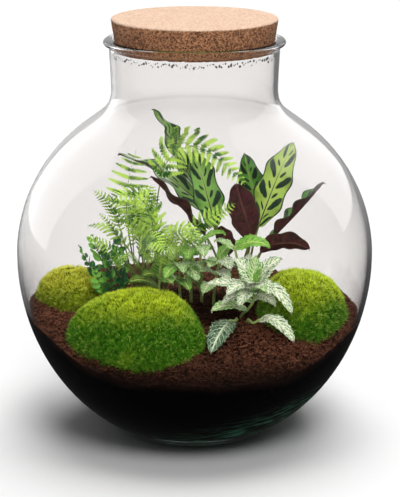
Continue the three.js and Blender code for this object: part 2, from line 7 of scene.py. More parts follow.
import bisect
import itertools
import math
import random

import bmesh
import bpy
from mathutils import Matrix, Vector, noise
from mathutils.geometry import interpolate_bezier


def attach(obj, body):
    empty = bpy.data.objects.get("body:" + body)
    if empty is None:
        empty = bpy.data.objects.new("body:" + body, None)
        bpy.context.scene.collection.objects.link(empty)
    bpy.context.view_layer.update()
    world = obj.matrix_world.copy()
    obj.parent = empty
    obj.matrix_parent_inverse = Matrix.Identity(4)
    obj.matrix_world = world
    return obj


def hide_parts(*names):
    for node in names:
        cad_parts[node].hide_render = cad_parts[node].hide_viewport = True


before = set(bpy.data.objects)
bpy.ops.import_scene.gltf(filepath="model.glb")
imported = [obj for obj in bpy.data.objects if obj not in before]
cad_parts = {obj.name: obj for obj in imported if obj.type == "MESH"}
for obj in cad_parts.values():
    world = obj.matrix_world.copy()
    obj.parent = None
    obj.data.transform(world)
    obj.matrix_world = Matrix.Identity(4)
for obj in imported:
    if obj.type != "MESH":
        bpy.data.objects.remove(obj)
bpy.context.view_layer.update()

MM = 0.001
UP = Vector((0, 0, 1))

# Jar
BELLY_RADIUS = 150
BELLY_HEIGHT = 153.5
LOWER_HALF = 166.2
UPPER_HALF = 140.8
WALL = 3.6
FLOOR_TOP = 9
FLOOR_RADIUS = 50
FOOT_DISH = 2.4
FOOT_INNER_RADIUS = 43.5
FOOT_RADIUS = 55
NECK_RADIUS = 70.6
NECK_WAIST = 69
NECK_FLARE = 0.045  # how much wider the neck gets for each millimetre up to the lip
MOUTH_RADIUS = 66.7
LIP_RADIUS = 75.4
LIP_HEIGHT = 7
RIM_TOP = 335.7
JAR_SIDES = 96
SIDE_STEPS = 44
WATER_BEADS = 240

# Stopper
CORK_TOP = 353.4
CORK_BOTTOM = 326.6
CORK_TOP_RADIUS = 69
CORK_BOTTOM_RADIUS = 65.3
CORK_EDGE = 1.6
CORK_SIDES = 220
CORK_ROWS = 16
CORK_RINGS = 34

# Soil
SOIL_LEVEL = 108
BANK_DROP = 29
BANK_TOP_Y = -50
BANK_FOOT_Y = -128
SOIL_LEAN = -0.025
SOIL_REACH = 140
SOIL_PRESS = 0.15  # how far the damp soil is pressed on the glass, so that no air shows between them
SOIL_SIDES = 320
SOIL_TOP_ROWS = 84
SOIL_WALL_ROWS = 18
CRUMBS = 4800
LUMP_KINDS = 8
FIBRES = 4600
STRAND_KINDS = 10
ROOT_DEPTH = 14
ROOT_STRAIGHT = 4

# Moss cushions: middle, half length, half width and height above the soil
MOSS = [
    dict(side="left", at=(-104, 1), half=(32, 35), height=30, seed=11, tufts=560),
    dict(side="front", at=(-45, -71), half=(57, 40), height=33, seed=23, tufts=1200),
    dict(side="right", at=(90, -34), half=(39, 45), height=44, seed=37, tufts=900),
]
MOSS_SINK = 2
MOSS_DEPTH = 7
MOSS_FOOT = 0.75  # the share of the half turn, from the crown down, at which a cushion meets the soil
MOSS_FULLNESS = 0.85
MOSS_COVER = 0.85  # the share of a cushion's size within which no crumbs lie
SHOOT_LENGTH = 4.8
SHOOT_RADIUS = 0.27
SHOOTS_IN_A_TUFT = 25
TUFT_KINDS = 8

# Leaf blades. All plants: a root is a place on the soil, a knee is where the stalk bends on its way to
# the rib, and faces are the ways the upper side looks at the rib's start and end, or at both if alone
LEAF_TIP = 0.5
END_SHARE = 0.004
RIPPLE_SHIFT = 1.9

# Prayer plant: long leaves on thin stalks
PRAYER_STALK = 1.2
PRAYER_THICKNESS = 0.45
PRAYER_RIB = 0.75
PRAYER_POWERS = (0.62, 0.7)
PRAYER_LEAVES = [
    dict(
        root=(25, 31), knee=(17, 33, 168), half_width=8.5, ripple=3.4, upper="light",
        rib=[(2, 31, 200), (-14, 30, 232), (-24, 28, 252), (-35, 26, 272)],
        faces=[(0.5, -0.8, 0.3), (0.75, -0.5, 0.4)],
    ),
    dict(
        root=(29, 24), knee=(25, 19, 146), half_width=12.5, ripple=3.2, ripples=2.5, upper="light",
        rib=[(18, 13, 172), (13, 8, 192), (7, 4, 216), (-1, 0, 242)],
        faces=[(0.1, -1, 0.25), (0.3, -0.9, 0.3)],
    ),
    dict(
        root=(31, 38), knee=(24, 45, 153), half_width=11, ripple=2.8, upper="light",
        rib=[(12, 47, 178), (-12, 46, 200), (-38, 42, 218), (-65, 34, 232)],
        faces=[(-0.2, -0.9, 0.5), (0.5, 0.3, 0.8)],
    ),
    dict(
        root=(25, 17), knee=(19, 8, 146), half_width=10, ripple=2.6, ripples=2.5,
        rib=[(9, 2, 168), (-4, 0, 185), (-20, -3, 203), (-36, -6, 221)], faces=[(0.75, 0.5, 0.5)],
    ),
    dict(
        root=(38, 38), knee=(46, 46, 143), half_width=12, ripple=2.6,
        rib=[(54, 50, 164), (53, 51, 188), (48, 50, 208), (43, 46, 229)],
        faces=[(-0.1, -1, 0.2), (0.1, -1, 0.2)],
    ),
    dict(
        root=(37, 15), knee=(44, 2, 144), half_width=13, ripple=1.6, fold=0.3,
        rib=[(47, -5, 165), (44, -10, 182), (39, -16, 200), (34, -22, 218)], faces=[(-0.25, 0.95, 0.3)],
    ),
    dict(
        root=(44, 30), knee=(50, 31, 147), half_width=14, ripple=3, upper="lime",
        rib=[(55, 30, 168), (64, 28, 194), (73, 27, 218), (84, 26, 243)],
        faces=[(-0.2, -1, 0.2), (-0.15, -1, 0.2)],
    ),
    dict(
        root=(46, 22), knee=(53, 16, 140), half_width=11, ripple=2.6, fold=0.55,
        rib=[(62, 13, 158), (76, 9, 174), (92, 5, 193), (108, 2, 214)],
        faces=[(-0.7, 0.25, 0.65), (-0.75, 0.1, 0.65)],
    ),
    dict(
        root=(43, 14), knee=(50, 4, 138), half_width=10, ripple=1.2, fold=0.3,
        rib=[(56, -2, 154), (68, -6, 162), (82, -9, 164), (97, -12, 160)],
        faces=[(-0.1, 0.85, 0.45), (0, 0.85, 0.4)],
    ),
    dict(
        root=(32, 13), knee=(31, 2, 138), half_width=8, ripple=1,
        rib=[(29, -3, 152), (27, -6, 161), (25, -10, 170), (22, -14, 180)], faces=[(0.2, 0.9, 0.4)],
    ),
]

# Fern: arching fronds of narrow leaflets that are themselves cut into lobes
FERN_STALK = 0.9
FERN_THICKNESS = 0.28
FERN_SLANT = 0.45
FERN_DROOP = 0.16
FERN_POWERS = (0.42, 0.8)
LONG_LEAFLET = 8
YOUNG_FRONDS = [(40, 0.82), (-45, 0.74), (100, 0.6)]  # turn in degrees and size of the fronds beside one
FERN_FRONDS = [
    dict(
        root=(-34, 13), knee=(-34, 11, 150), reach=17, pairs=21, bare=0.3, young=(),
        rib=[(-33, 9, 178), (-28, 6, 216), (-14, 2, 243), (10, -3, 243), (29, -9, 228), (43, -14, 214)],
        faces=[(0.1, -0.9, 0.45), (0.3, -0.6, 0.75)],
    ),
    dict(
        root=(-46, 14), knee=(-54, 16, 150), reach=19, pairs=9, slim=0.7, slant=0.12, young=(),
        rib=[(-57, 16, 172), (-58, 15, 196), (-55, 13, 218), (-49, 11, 240)],
        faces=[(-0.1, -0.95, 0.3), (0, -0.95, 0.3)],
    ),
    dict(
        root=(-38, -4), knee=(-34, -8, 140), reach=13, pairs=14,
        rib=[(-33, -11, 162), (-38, -16, 194), (-52, -23, 209), (-72, -32, 208)],
        faces=[(-0.3, -0.8, 0.5), (-0.2, -0.5, 0.85)],
    ),
    dict(
        root=(-50, 7), knee=(-56, 2, 144), reach=7, faces=[(-0.3, -0.85, 0.4)],
        rib=[(-62, -4, 172), (-68, -10, 192), (-75, -15, 204), (-84, -20, 212)],
    ),
    dict(
        root=(-47, -4), knee=(-52, -14, 136), reach=6, faces=[(0.1, -0.85, 0.5)],
        rib=[(-58, -22, 150), (-68, -28, 163), (-79, -33, 171), (-90, -37, 177)],
    ),
    dict(
        root=(-29, 5), knee=(-18, -2, 146), reach=9, faces=[(0.1, -0.95, 0.3)],
        rib=[(-10, -5, 163), (3, -10, 180), (18, -19, 191), (34, -28, 203)],
    ),
    dict(
        root=(-30, -4), knee=(-24, -12, 144), reach=10, faces=[(0.1, -0.9, 0.4), (0.5, -0.6, 0.6)],
        rib=[(-21, -22, 163), (-15, -34, 178), (-5, -43, 183), (5, -52, 173)],
    ),
    dict(
        root=(-42, -8), knee=(-46, -16, 140), reach=12, faces=[(-0.2, -0.8, 0.55), (0.2, -0.6, 0.8)],
        rib=[(-46, -28, 158), (-41, -42, 172), (-33, -52, 177), (-24, -61, 170)],
    ),
    dict(
        root=(-42, 5), knee=(-44, 4, 140), reach=13, faces=[(0.1, -0.95, 0.3)],
        rib=[(-45, 3, 160), (-44, 1, 180), (-41, -2, 198), (-36, -6, 214)],
    ),
    dict(
        root=(-40, 17), knee=(-42, 32, 140), reach=13, pairs=11, faces=[(0, -0.6, 0.8), (0, -0.1, 1)],
        rib=[(-46, 42, 156), (-52, 56, 172), (-60, 70, 180), (-70, 84, 178)],
    ),
]

# Creeper: sprigs with small blunt leaves in pairs
CREEPER_STALK = 0.7
CREEPER_THICKNESS = 0.35
CREEPER_SLANT = 0.55
CREEPER_DROOP = -0.1
CREEPER_POWERS = (0.3, 0.22)
CREEPER_LEAF = 9
CREEPER_REACH = 7.5
CREEPER_PAIRS = 8
CREEPER_TURN = 1.2
CREEPER_FACES = [(0.2, -0.8, 0.5)]
CREEPER_SPRIGS = [
    dict(root=(-68, -12), rib=[(-73, -15, 122), (-82, -19, 136), (-90, -21, 151), (-97, -20, 165)]),
    dict(root=(-65, -4), rib=[(-69, -6, 124), (-75, -9, 140), (-81, -11, 156), (-86, -12, 172)]),
    dict(root=(-62, -14), rib=[(-65, -17, 124), (-70, -21, 140), (-75, -24, 154), (-77, -25, 168)]),
    dict(root=(-59, -4), rib=[(-60, -4, 124), (-62, -3, 138), (-64, -1, 152), (-66, 1, 165)]),
    dict(root=(-57, -19), rib=[(-58, -21, 119), (-61, -23, 129), (-62, -24, 138), (-61, -24, 147)]),
    dict(root=(-66, -20), rib=[(-69, -24, 118), (-75, -30, 128), (-80, -33, 139), (-83, -34, 150)]),
]

# Nerve plant: leafy stems, with their leaves by colouring. A leaf is the share of the stem where it
# grows, the place of its tip, how high it arches on the way, its half width and, for one, its facing
NERVE_STALK = 1.3
NERVE_THICKNESS = 0.4
NERVE_RIB = 0.6
NERVE_POWERS = (0.44, 0.62)
NERVE_FACE = (0, -0.4, 1)
NERVE_STEMS = [
    dict(
        root=(-12, -6), path=[(-13, -12, 132), (-12, -18, 150)],
        green=[(0.97, -25, -37, 141, 3, 6), (0.7, -24, -22, 136, 3, 6), (0.75, -4, -34, 130, 3, 5.5)],
        pale=[(0.97, 3, -34, 138, 4, 7), (0.97, -9, -41, 147, 4, 6)],
    ),
    dict(
        root=(-3, -2), path=[(-3, -8, 140), (-1, -19, 165)],
        green=[
            (0.97, -6, -38, 158, 4, 6.5), (0.9, 14, -10, 160, 2, 5.5), (0.7, -8, 4, 152, 4, 6),
            (0.6, -16, -30, 140, 3, 5.5),
        ],
        pale=[(0.95, -17, -29, 157, 2, 6), (0.8, 6, -34, 148, 3, 5.5)],
    ),
    dict(
        root=(6, -8), path=[(5, -16, 140), (5, -27, 172)], fresh=[(0.98, 25, -33, 179, 3, 4.5)],
        pale=[(0.98, -10, -32, 177, 3, 4.5), (0.95, 8, -46, 162, 3, 5.5), (0.8, 18, -44, 158, 3, 5)],
        green=[(0.6, -8, -33, 142, 3, 5), (0.7, -6, -40, 152, 3, 5)],
    ),
    dict(
        root=(16, -12), path=[(18, -18, 134), (21, -25, 156)], green=[(0.97, 30, -14, 165, 2, 5)],
        white=[(0.97, 30, -44, 151, 3, 6.5), (0.85, 28, -48, 142, 3, 6)],
        pale=[(0.95, 12, -42, 152, 3, 6), (0.7, 7, -47, 131, 3, 6.5), (0.8, 4, -34, 146, 3, 5.5)],
    ),
    dict(
        root=(39, -40), path=[(44, -47, 117), (49, -53, 128), (48, -56, 140)],
        fresh=[(0.98, 53, -60, 155, 1, 4)],
        white=[
            (0.98, 33, -52, 162, 4, 8.6), (0.98, 71, -50, 162, 4, 8.6), (0.95, 61, -76, 139, 6, 8),
            (0.88, 79, -76, 123, 13, 6.5), (0.95, 26, -75, 138, 6, 6.5), (0.88, 10, -60, 143, 4, 6.5),
            (0.85, 22, -70, 129, 4, 5), (0.95, 44, -76, 148, 3, 6), (0.97, 62, -58, 156, 3, 5.5),
            (0.9, 36, -78, 130, 5, 6.5), (0.8, 66, -66, 127, 4, 6),
        ],
        pale=[
            (0.96, 50, -54, 165, 3, 6.5), (0.9, 57, -82, 143, 4, 5), (0.6, 14, -66, 122, 4, 7),
            (0.75, 24, -56, 130, 3, 5.5),
        ],
    ),
    dict(
        root=(38, -20), path=[(38, -22, 140), (33, -28, 166)], fresh=[(0.98, 63, -25, 165, 5, 8)],
        pale=[(0.97, 17, -30, 172, 2, 4.5), (0.6, 24, -38, 140, 3, 5.5)],
        white=[(0.7, 57, -34, 148, 4, 6.5), (0.85, 46, -46, 160, 3, 6), (0.8, 22, -42, 154, 3, 5.5)],
    ),
    dict(root=(44, -54), path=[(48, -62, 110), (53, -68, 115)], white=[(0.96, 80, -88, 103, 8, 6.5)]),
    dict(root=(35, -50), path=[(33, -56, 110), (29, -61, 112)], deep=[(0.96, 13, -99, 97, 4, 9.5)]),
    dict(
        root=(-30, -15), path=[(-30, -21, 126), (-29, -24, 138)], green=[(0.95, -18, -34, 136, 2, 5.5)],
        striped=[
            (0.97, -28, -20, 156, 0, 7.5, (0, -1, 0.2)), (0.97, -43, -36, 143, 3, 6.5),
            (0.8, -55, -34, 137, 4, 6),
        ],
    ),
]

# Camera, placed as for the photo: in degrees and metres, and then in the photo's own pixels
VIEW_TILT = 15.2
VIEW_DISTANCE = 1.6
PHOTO_HEIGHT = 497
PHOTO_LENS = 1885
PHOTO_SHIFT = (5.4, 3.5)


# Curves and sheets


def clamp(t, low=0.0, high=1.0):
    return min(max(t, low), high)


def smooth_step(t):
    t = clamp(t)
    return t * t * (3 - 2 * t)


def rotation(angle, axis="Z"):
    return Matrix.Rotation(angle, 4, axis)


class Path:
    """A smooth curve through places, read by the share of its length."""

    STEPS = 16  # between two of its places

    def __init__(self, places):
        knots = [Vector(place) for place in places]
        knots = [2 * knots[0] - knots[1], *knots, 2 * knots[-1] - knots[-2]]
        self.spots = [knots[1]]
        for before, start, end, after in zip(knots, knots[1:], knots[2:], knots[3:]):
            pull, span, push = (math.sqrt(way.length) for way in (start - before, end - start, after - end))
            middle = (end - start) / span
            leave = ((start - before) / pull - (end - before) / (pull + span) + middle) * span
            arrive = (middle - (after - start) / (span + push) + (after - end) / push) * span
            curve = interpolate_bezier(start, start + leave / 3, end - arrive / 3, end, self.STEPS + 1)
            self.spots += [spot.to_3d() for spot in curve[1:]]
        steps = [b - a for a, b in zip(self.spots, self.spots[1:])]
        self.ways = [(a + b).normalized() for a, b in zip([steps[0], *steps], [*steps, steps[-1]])]
        self.marks = list(itertools.accumulate((step.length for step in steps), initial=0.0))
        self.length = self.marks[-1]

    def at(self, share):
        """The place and the direction at a share of the length."""
        mark = clamp(share) * self.length
        i = min(bisect.bisect_right(self.marks, mark) - 1, len(self.spots) - 2)
        t = (mark - self.marks[i]) / (self.marks[i + 1] - self.marks[i])
        return self.spots[i].lerp(self.spots[i + 1], t), self.ways[i].lerp(self.ways[i + 1], t).normalized()

    def between_knots(self, share):
        """The place at a share of the way counted in knots, and not in length."""
        count = share * (len(self.spots) - 1)
        i = min(int(count), len(self.spots) - 2)
        return self.spots[i].lerp(self.spots[i + 1], count - i)

    def stand(self, share, faces):
        """The place, the side and the upper face of what grows along the path."""
        place, way = self.at(share)
        face = Vector(faces[0]).lerp(Vector(faces[-1]), clamp(share))
        face = (face - way * face.dot(way)).normalized()
        return place, way.cross(face), face


def lay_uv(bm, read):
    """Gives every corner its place in the UV map, read from where it lies now."""
    layer = bm.loops.layers.uv.get("leaf") or bm.loops.layers.uv.new("leaf")
    for face in bm.faces:
        for corner in face.loops:
            corner[layer].uv = read(corner.vert.co)


def sheet(across, along, eased=False):
    """A flat grid from -1 to 1 both ways, with its UV map. Eased, its rows lie closer towards both ends."""
    bm = bmesh.new()
    bmesh.ops.create_grid(bm, x_segments=across, y_segments=along, size=1)
    if eased:
        for vert in bm.verts:
            vert.co.y = math.sin(vert.co.y * math.pi / 2)
    lay_uv(bm, lambda co: ((co.x + 1) / 2, (co.y + 1) / 2))
    return bm


def shape(bm, place):
    for vert in bm.verts:
        vert.co = place(*vert.co)


def give_thickness(bm, thickness, under):
    """Makes a sheet a thin solid. Its underside and rim take the finish numbered under."""
    upper = set(bm.faces)
    bmesh.ops.solidify(bm, geom=bm.faces[:], thickness=thickness)
    for face in bm.faces:
        if face not in upper:
            face.material_index = under


def face_up(bm):
    for face in bm.faces:
        face.normal_update()
        if face.normal.z < 0:
            face.normal_flip()


def join(bm, part, finish=None):
    """Adds one mesh to another and lets go of it."""
    if finish is not None:
        for face in part.faces:
            face.material_index = finish
    mesh = pattern(part)
    bm.from_mesh(mesh)
    bpy.data.meshes.remove(mesh)


def pattern(bm):
    """Turns a mesh into one that is stamped many times."""
    mesh = bpy.data.meshes.new("pattern")
    bm.to_mesh(mesh)
    bm.free()
    return mesh


def stamp(bm, mesh, matrix):
    copy = mesh.copy()
    copy.transform(matrix)
    bm.from_mesh(copy)
    bpy.data.meshes.remove(copy)


def tube(path, start_radius, end_radius, steps, sides=7):
    """A closed round stem along a path, whose rings don't twist along it."""
    bm = sheet(sides, steps)
    rings = []
    across = Vector((1, 0, 0.01))
    for i in range(steps + 1):
        place, way = path.at(i / steps)
        across = (across - way * across.dot(way)).normalized()
        radius = start_radius + (end_radius - start_radius) * i / steps
        rings.append((place, across, way.cross(across), radius))

    def wrap(x, y, z):
        place, across, other, radius = rings[round((y + 1) / 2 * steps)]
        angle = math.pi * x
        return place + (across * math.cos(angle) + other * math.sin(angle)) * radius

    shape(bm, wrap)
    bmesh.ops.remove_doubles(bm, verts=bm.verts[:], dist=1e-4)
    bmesh.ops.holes_fill(bm, edges=[edge for edge in bm.edges if edge.is_boundary], sides=sides)
    bmesh.ops.recalc_face_normals(bm, faces=bm.faces[:])
    return bm


def turned(profile, sides):
    """A solid turned from half its outline, which starts and ends on the axis."""
    bm = bmesh.new()
    verts = [bm.verts.new((r, 0, z)) for r, z in profile]
    edges = [bm.edges.new(pair) for pair in zip(verts, verts[1:])]
    bmesh.ops.spin(
        bm, geom=verts + edges, cent=(0, 0, 0), axis=(0, 0, 1), dvec=(0, 0, 0),
        angle=2 * math.pi, steps=sides, use_merge=True,
    )
    bmesh.ops.remove_doubles(bm, verts=bm.verts[:], dist=1e-3)
    bmesh.ops.recalc_face_normals(bm, faces=bm.faces[:])
    return bm


def rounded(points, steps):
    """The outline of a smooth curve through points, as radius and height."""
    path = Path([(r, 0, z) for r, z in points])
    places = [path.at(i / steps)[0] for i in range(steps + 1)]
    return [(place.x, place.z) for place in places]


def leaf_width(share, base_power, tip_power):
    """How wide a leaf is at a share of its length, as a share of its widest place."""
    widest = base_power / (base_power + tip_power)
    most = widest**base_power * (1 - widest) ** tip_power
    t = clamp(share, END_SHARE, 1 - END_SHARE)
    return t**base_power * (1 - t) ** tip_power / most


# Finishes


def math_node(operation, reflected=False):
    """A method of Value that adds a Math node to its finish."""

    def method(value, *others):
        terms = (*others, value) if reflected else (value, *others)
        return value.finish.node("Math", {"operation": operation}, dict(enumerate(terms)))

    return method


class Value:
    """A number or colour that changes over a surface. Sums on a number add Math nodes."""

    def __init__(self, finish, output):
        self.finish = finish
        self.output = output

    __add__ = __radd__ = math_node("ADD")
    __sub__ = math_node("SUBTRACT")
    __rsub__ = math_node("SUBTRACT", reflected=True)
    __mul__ = __rmul__ = math_node("MULTIPLY")
    __truediv__ = math_node("DIVIDE")
    __pow__ = math_node("POWER")
    __mod__ = math_node("FLOORED_MODULO")
    __abs__ = math_node("ABSOLUTE")
    either = math_node("MAXIMUM")
    both = math_node("MINIMUM")

    def step(self, low, high):
        """Goes smoothly from 0 at low to 1 at high."""
        limits = {"Value": self, "From Min": low, "From Max": high}
        return self.finish.node("MapRange", {"interpolation_type": "SMOOTHSTEP"}, limits)


class Nodes:
    """The shader nodes of a finish or of the studio's sky."""

    def __init__(self, tree):
        self.tree = tree

    def node(self, kind, settings=(), sockets=(), output=0):
        """Adds a node: its settings first, then the values or links of its sockets."""
        made = self.tree.nodes.new("ShaderNode" + kind)
        for name, value in dict(settings).items():
            setattr(made, name, value)
        for name, value in dict(sockets).items():
            self.feed(made.inputs[name], value)
        return Value(self, made.outputs[output])

    def feed(self, socket, value):
        if isinstance(value, Value):
            self.tree.links.new(value.output, socket)
        else:
            socket.default_value = value

    def parts(self, vector):
        """The three numbers of a vector."""
        split = self.node("SeparateXYZ", sockets={0: vector}).output.node
        return [Value(self, output) for output in split.outputs]


class Finish(Nodes):
    """A material for one kind of surface."""

    def __init__(self, name):
        self.material = bpy.data.materials.new(name)
        self.material.use_nodes = True
        super().__init__(self.material.node_tree)
        self.surface = self.tree.nodes["Principled BSDF"]

    def place(self):
        """How far to the right, to the back and up a place is, in metres."""
        return self.parts(self.node("TexCoord", output="Object"))

    def height(self):
        return self.place()[2]

    def leaf_map(self):
        """How far across and along its own leaf or shoot a place is, from 0 to 1."""
        return self.parts(self.node("TexCoord", output="UV"))[:2]

    def grain(self, size, detail, rough=0.6, where=None):
        """Cloudy noise with lumps of a size in millimetres, about 0.5 in the middle."""
        sockets = {"Scale": 1 / (size * MM), "Detail": detail, "Roughness": rough}
        sockets["Vector"] = where or self.node("TexCoord", output="Object")
        return self.node("TexNoise", sockets=sockets)

    def cells(self, size, feature="F1", output="Distance", where=None):
        """Cells of a size in millimetres: the distance to each middle, or each one's own colour."""
        sockets = {"Scale": 1 / (size * MM), "Vector": where or self.node("TexCoord", output="Object")}
        return self.node("TexVoronoi", {"feature": feature}, sockets, output)

    def blend(self, low, high, share):
        """A colour between two colours."""
        return self.node("Mix", {"data_type": "RGBA"}, {0: share, 6: low, 7: high}, 2)

    def paint(self, colour, roughness, bumps=None, depth=0.0, strength=1.0, shine=0.5, **sockets):
        """Feeds the surface and gives the material. Bumps are as deep as their depth in millimetres."""
        sockets.update(base_color=colour, roughness=roughness, specular_ior_level=shine)
        if bumps is not None:
            form = {"Height": bumps, "Distance": depth * MM, "Strength": strength}
            sockets["normal"] = self.node("Bump", sockets=form)
        for name, value in sockets.items():
            self.feed(self.surface.inputs[name.replace("_", " ").title().replace("Ior", "IOR")], value)
        return self.material


def rgb(red, green, blue):
    """A colour as seen on a screen, from 0 to 255, as the shader's own linear numbers."""
    linear = [((c / 255 + 0.055) / 1.055) ** 2.4 if c > 10 else c / 255 / 12.92 for c in (red, green, blue)]
    return (*linear, 1.0)


def clear_glass():
    """Glass that is greener in its foot and lets the lamps' light straight through."""
    finish = Finish("clear_glass")
    foot = finish.height().step(0.034, 0.004)
    rim = finish.height().step((RIM_TOP - 0.5) * MM, (RIM_TOP - 0.1) * MM)
    smear = finish.grain(60, 2).step(0.35, 0.8)
    finish.paint(
        finish.blend(rgb(244, 242, 241), rgb(150, 190, 175), foot), smear * 0.012 + rim * 0.08,
        ior=1.47, transmission_weight=1.0, specular_tint=(0.25, 0.25, 0.25, 1),
    )
    lamp_ray = finish.node("LightPath", output="Is Shadow Ray")
    open_way = finish.node("BsdfTransparent", sockets={"Color": rgb(250, 250, 249)})
    glass = Value(finish, finish.surface.outputs[0])
    mixed = finish.node("MixShader", sockets={0: lamp_ray, 1: glass, 2: open_way})
    finish.feed(finish.tree.nodes["Material Output"].inputs["Surface"], mixed)
    return finish.material


def ground_cork():
    """Dark mottled grains at the side and paler ones on top, which are painted light from above and painted
    shade at the side, and dark pits.
    """
    finish = Finish("ground_cork")
    tone = finish.node("SeparateColor", sockets={0: finish.cells(1.2, output="Color")})
    shade = finish.grain(7, 3) * 0.3
    fine = finish.grain(1.2, 3)
    mottle = (tone * 0.45 + shade + fine * 0.3).step(0.2, 0.85)
    side = finish.blend(rgb(84, 52, 35), rgb(190, 136, 98), mottle)
    speckle = (tone * 0.3 + shade + fine * 0.5).step(0.3, 0.8)
    top = finish.blend(rgb(208, 170, 142), rgb(238, 210, 188), speckle)
    # Painted light and shade: the top is painted paler, as lit from above, and the side darker.
    painted_top_light = finish.height().step((CORK_TOP - 2.2) * MM, (CORK_TOP - 0.8) * MM)
    pits = finish.grain(1.1, 2).step(0.34, 0.44)
    ground = finish.blend(side, top, painted_top_light)
    dark = finish.blend(rgb(66, 40, 27), rgb(212, 170, 138), painted_top_light)
    return finish.paint(finish.blend(dark, ground, pits), 0.9, fine + pits * 0.7, 0.35, shine=0.2)


def painted_soil_shade(finish):
    """Painted shade on the soil: dark low in front, where its bank meets the glass, and under the leaves."""
    across, back, height = finish.place()
    under_leaves = ((across / 0.078) ** 2 + ((back + 0.008) / 0.052) ** 2).step(1.15, 0.55)
    return height.step(0.098, 0.078).either(under_leaves * 0.92)


def potting_soil():
    """Brown crumbs on top, with painted shade that makes it almost black against the glass and under the
    leaves, and green streaks low down that are a painted reflection of the glass foot.
    """
    finish = Finish("potting_soil")
    _, buried = finish.leaf_map()
    crumb = finish.grain(2.6, 4, 0.7)
    patch = finish.grain(24, 2)
    fine = finish.blend(rgb(16, 10, 7), rgb(112, 70, 52), (crumb * 0.8 + patch * 0.2).step(0.38, 0.66))
    # Painted shade: the top goes almost black low in front, at the glass, and under the leaves.
    top = finish.blend(fine, rgb(14, 9, 7), painted_soil_shade(finish) * 0.9)
    # Painted shade: the wall against the glass goes almost black further down.
    wall = finish.blend(rgb(26, 16, 12), rgb(3, 3, 3), (buried + patch * 0.1 - 0.05).step(0.0, 0.12))
    across, _, height = finish.place()
    # Painted reflection: green streaks low on the wall stand in for the glass foot mirrored there.
    tilted = finish.node("CombineXYZ", sockets={0: height - across * 0.12, 1: across * 0.08})
    streak = finish.grain(1.7, 2, where=tilted).step(0.44, 0.7)
    wall_and_painted_reflection = finish.blend(wall, rgb(70, 132, 104), (height - across * 0.28).step(0.036, 0.006) * streak)
    return finish.paint(finish.blend(top, wall_and_painted_reflection, buried.step(0.0, 0.03)), 0.95, crumb, 1.8, shine=0.04)


def soil_crumb(name, dark, light):
    finish = Finish(name)
    fleck = finish.blend(dark, light, finish.grain(2.2, 3).step(0.36, 0.62))
    # Painted shade: crumbs and fibres go dark low in front, at the glass, and under the leaves.
    colour = finish.blend(fleck, dark, painted_soil_shade(finish) * 0.9)
    return finish.paint(colour, 0.92, finish.grain(0.8, 2), 0.3, shine=0.06)


def moss_shoots(cushion, crown, flank, foot, straw):
    """Moss painted yellower towards its crown as painted light from above, dark between its shoots as painted
    shade at their feet, with a few shoots of straw.
    """
    finish = Finish("moss_" + cushion["side"])
    shade, along = finish.leaf_map()
    ground = soil_height(*cushion["at"])
    low, high = (ground + cushion["height"] * share for share in (0.05, 0.95))
    # Painted light: the colour turns from flank to crown with height, as if lit from above, and the straw
    # shoots are painted brighter there too.
    rise = finish.height().step(low * MM, high * MM)
    patch = finish.grain(22, 2)
    clump = shade * 0.45 + finish.grain(3.2, 2) * 1.3 - 0.37
    green = finish.blend(flank, crown, (rise * 0.7 + patch - 0.45).step(0.0, 1.0))
    dim = finish.blend(green, foot, clump.step(0.5, 0.22) * 0.85)
    bright = finish.blend(dim, straw, clump.step(0.56, 0.85) * (rise * 0.2 + 0.6))
    # Painted shade: each shoot is dark at its foot, between the shoots, and bright at its tip.
    return finish.paint(finish.blend(foot, bright, along.step(0.05, 0.75)), 0.7, shine=0.15)


def side_veins(out, along):
    return abs((along * 22 - out * 1.6) % 1.0 - 0.5)


def prayer_upper(name, low, high, spot, pairs):
    """Light ground, with dark ovals by turns large and small on both sides of the rib."""
    finish = Finish(name)
    across, along = finish.leaf_map()
    out = abs(across * 2 - 1)
    cloud = finish.grain(3, 2)
    patch = finish.grain(11, 2)
    beat = (along * pairs - out * 0.85 + across.step(0.49, 0.51) * 0.4 + patch * 0.3) % 1.0
    large = ((beat - 0.36) / 0.21) ** 2 + ((out - 0.52) / 0.38) ** 2
    small = ((beat - 0.84) / 0.09) ** 2 + ((out - 0.3) / 0.17) ** 2
    blotch = (large.both(small) + cloud * 0.5 - 0.25).step(1.15, 0.75)
    margin = (out + cloud * 0.1).step(0.93, 1.0)
    ground = finish.blend(low, high, (1 - out) * 0.5 + patch * 0.5)
    painted = finish.blend(ground, spot, blotch.either(margin))
    ribbed = finish.blend(painted, rgb(176, 206, 118), out.step(0.08, 0.03))
    return finish.paint(ribbed, cloud * 0.12 + 0.24, side_veins(out, along), 0.25, 0.6, coat_weight=0.2)


def prayer_under():
    """Maroon, with a paler rib and a thin green edge."""
    finish = Finish("prayer_leaf_under")
    across, along = finish.leaf_map()
    out = abs(across * 2 - 1)
    cloud = finish.grain(4, 2)
    ground = finish.blend(rgb(44, 12, 18), rgb(86, 30, 38), cloud.step(0.3, 0.75))
    edged = finish.blend(ground, rgb(60, 92, 40), out.step(0.93, 0.99) * 0.8)
    ribbed = finish.blend(edged, rgb(112, 66, 54), out.step(0.09, 0.03) * 0.7)
    return finish.paint(ribbed, cloud * 0.15 + 0.28, side_veins(out, along), 0.25, 0.6)


def stalk_skin(name, low, high):
    """The skin of a stem, from its foot to its tip."""
    finish = Finish(name)
    _, along = finish.leaf_map()
    fleck = finish.grain(3, 2)
    share = (along + fleck * 0.3 - 0.15).step(0.0, 1.0)
    return finish.paint(finish.blend(low, high, share), 0.5, fleck, 0.12)


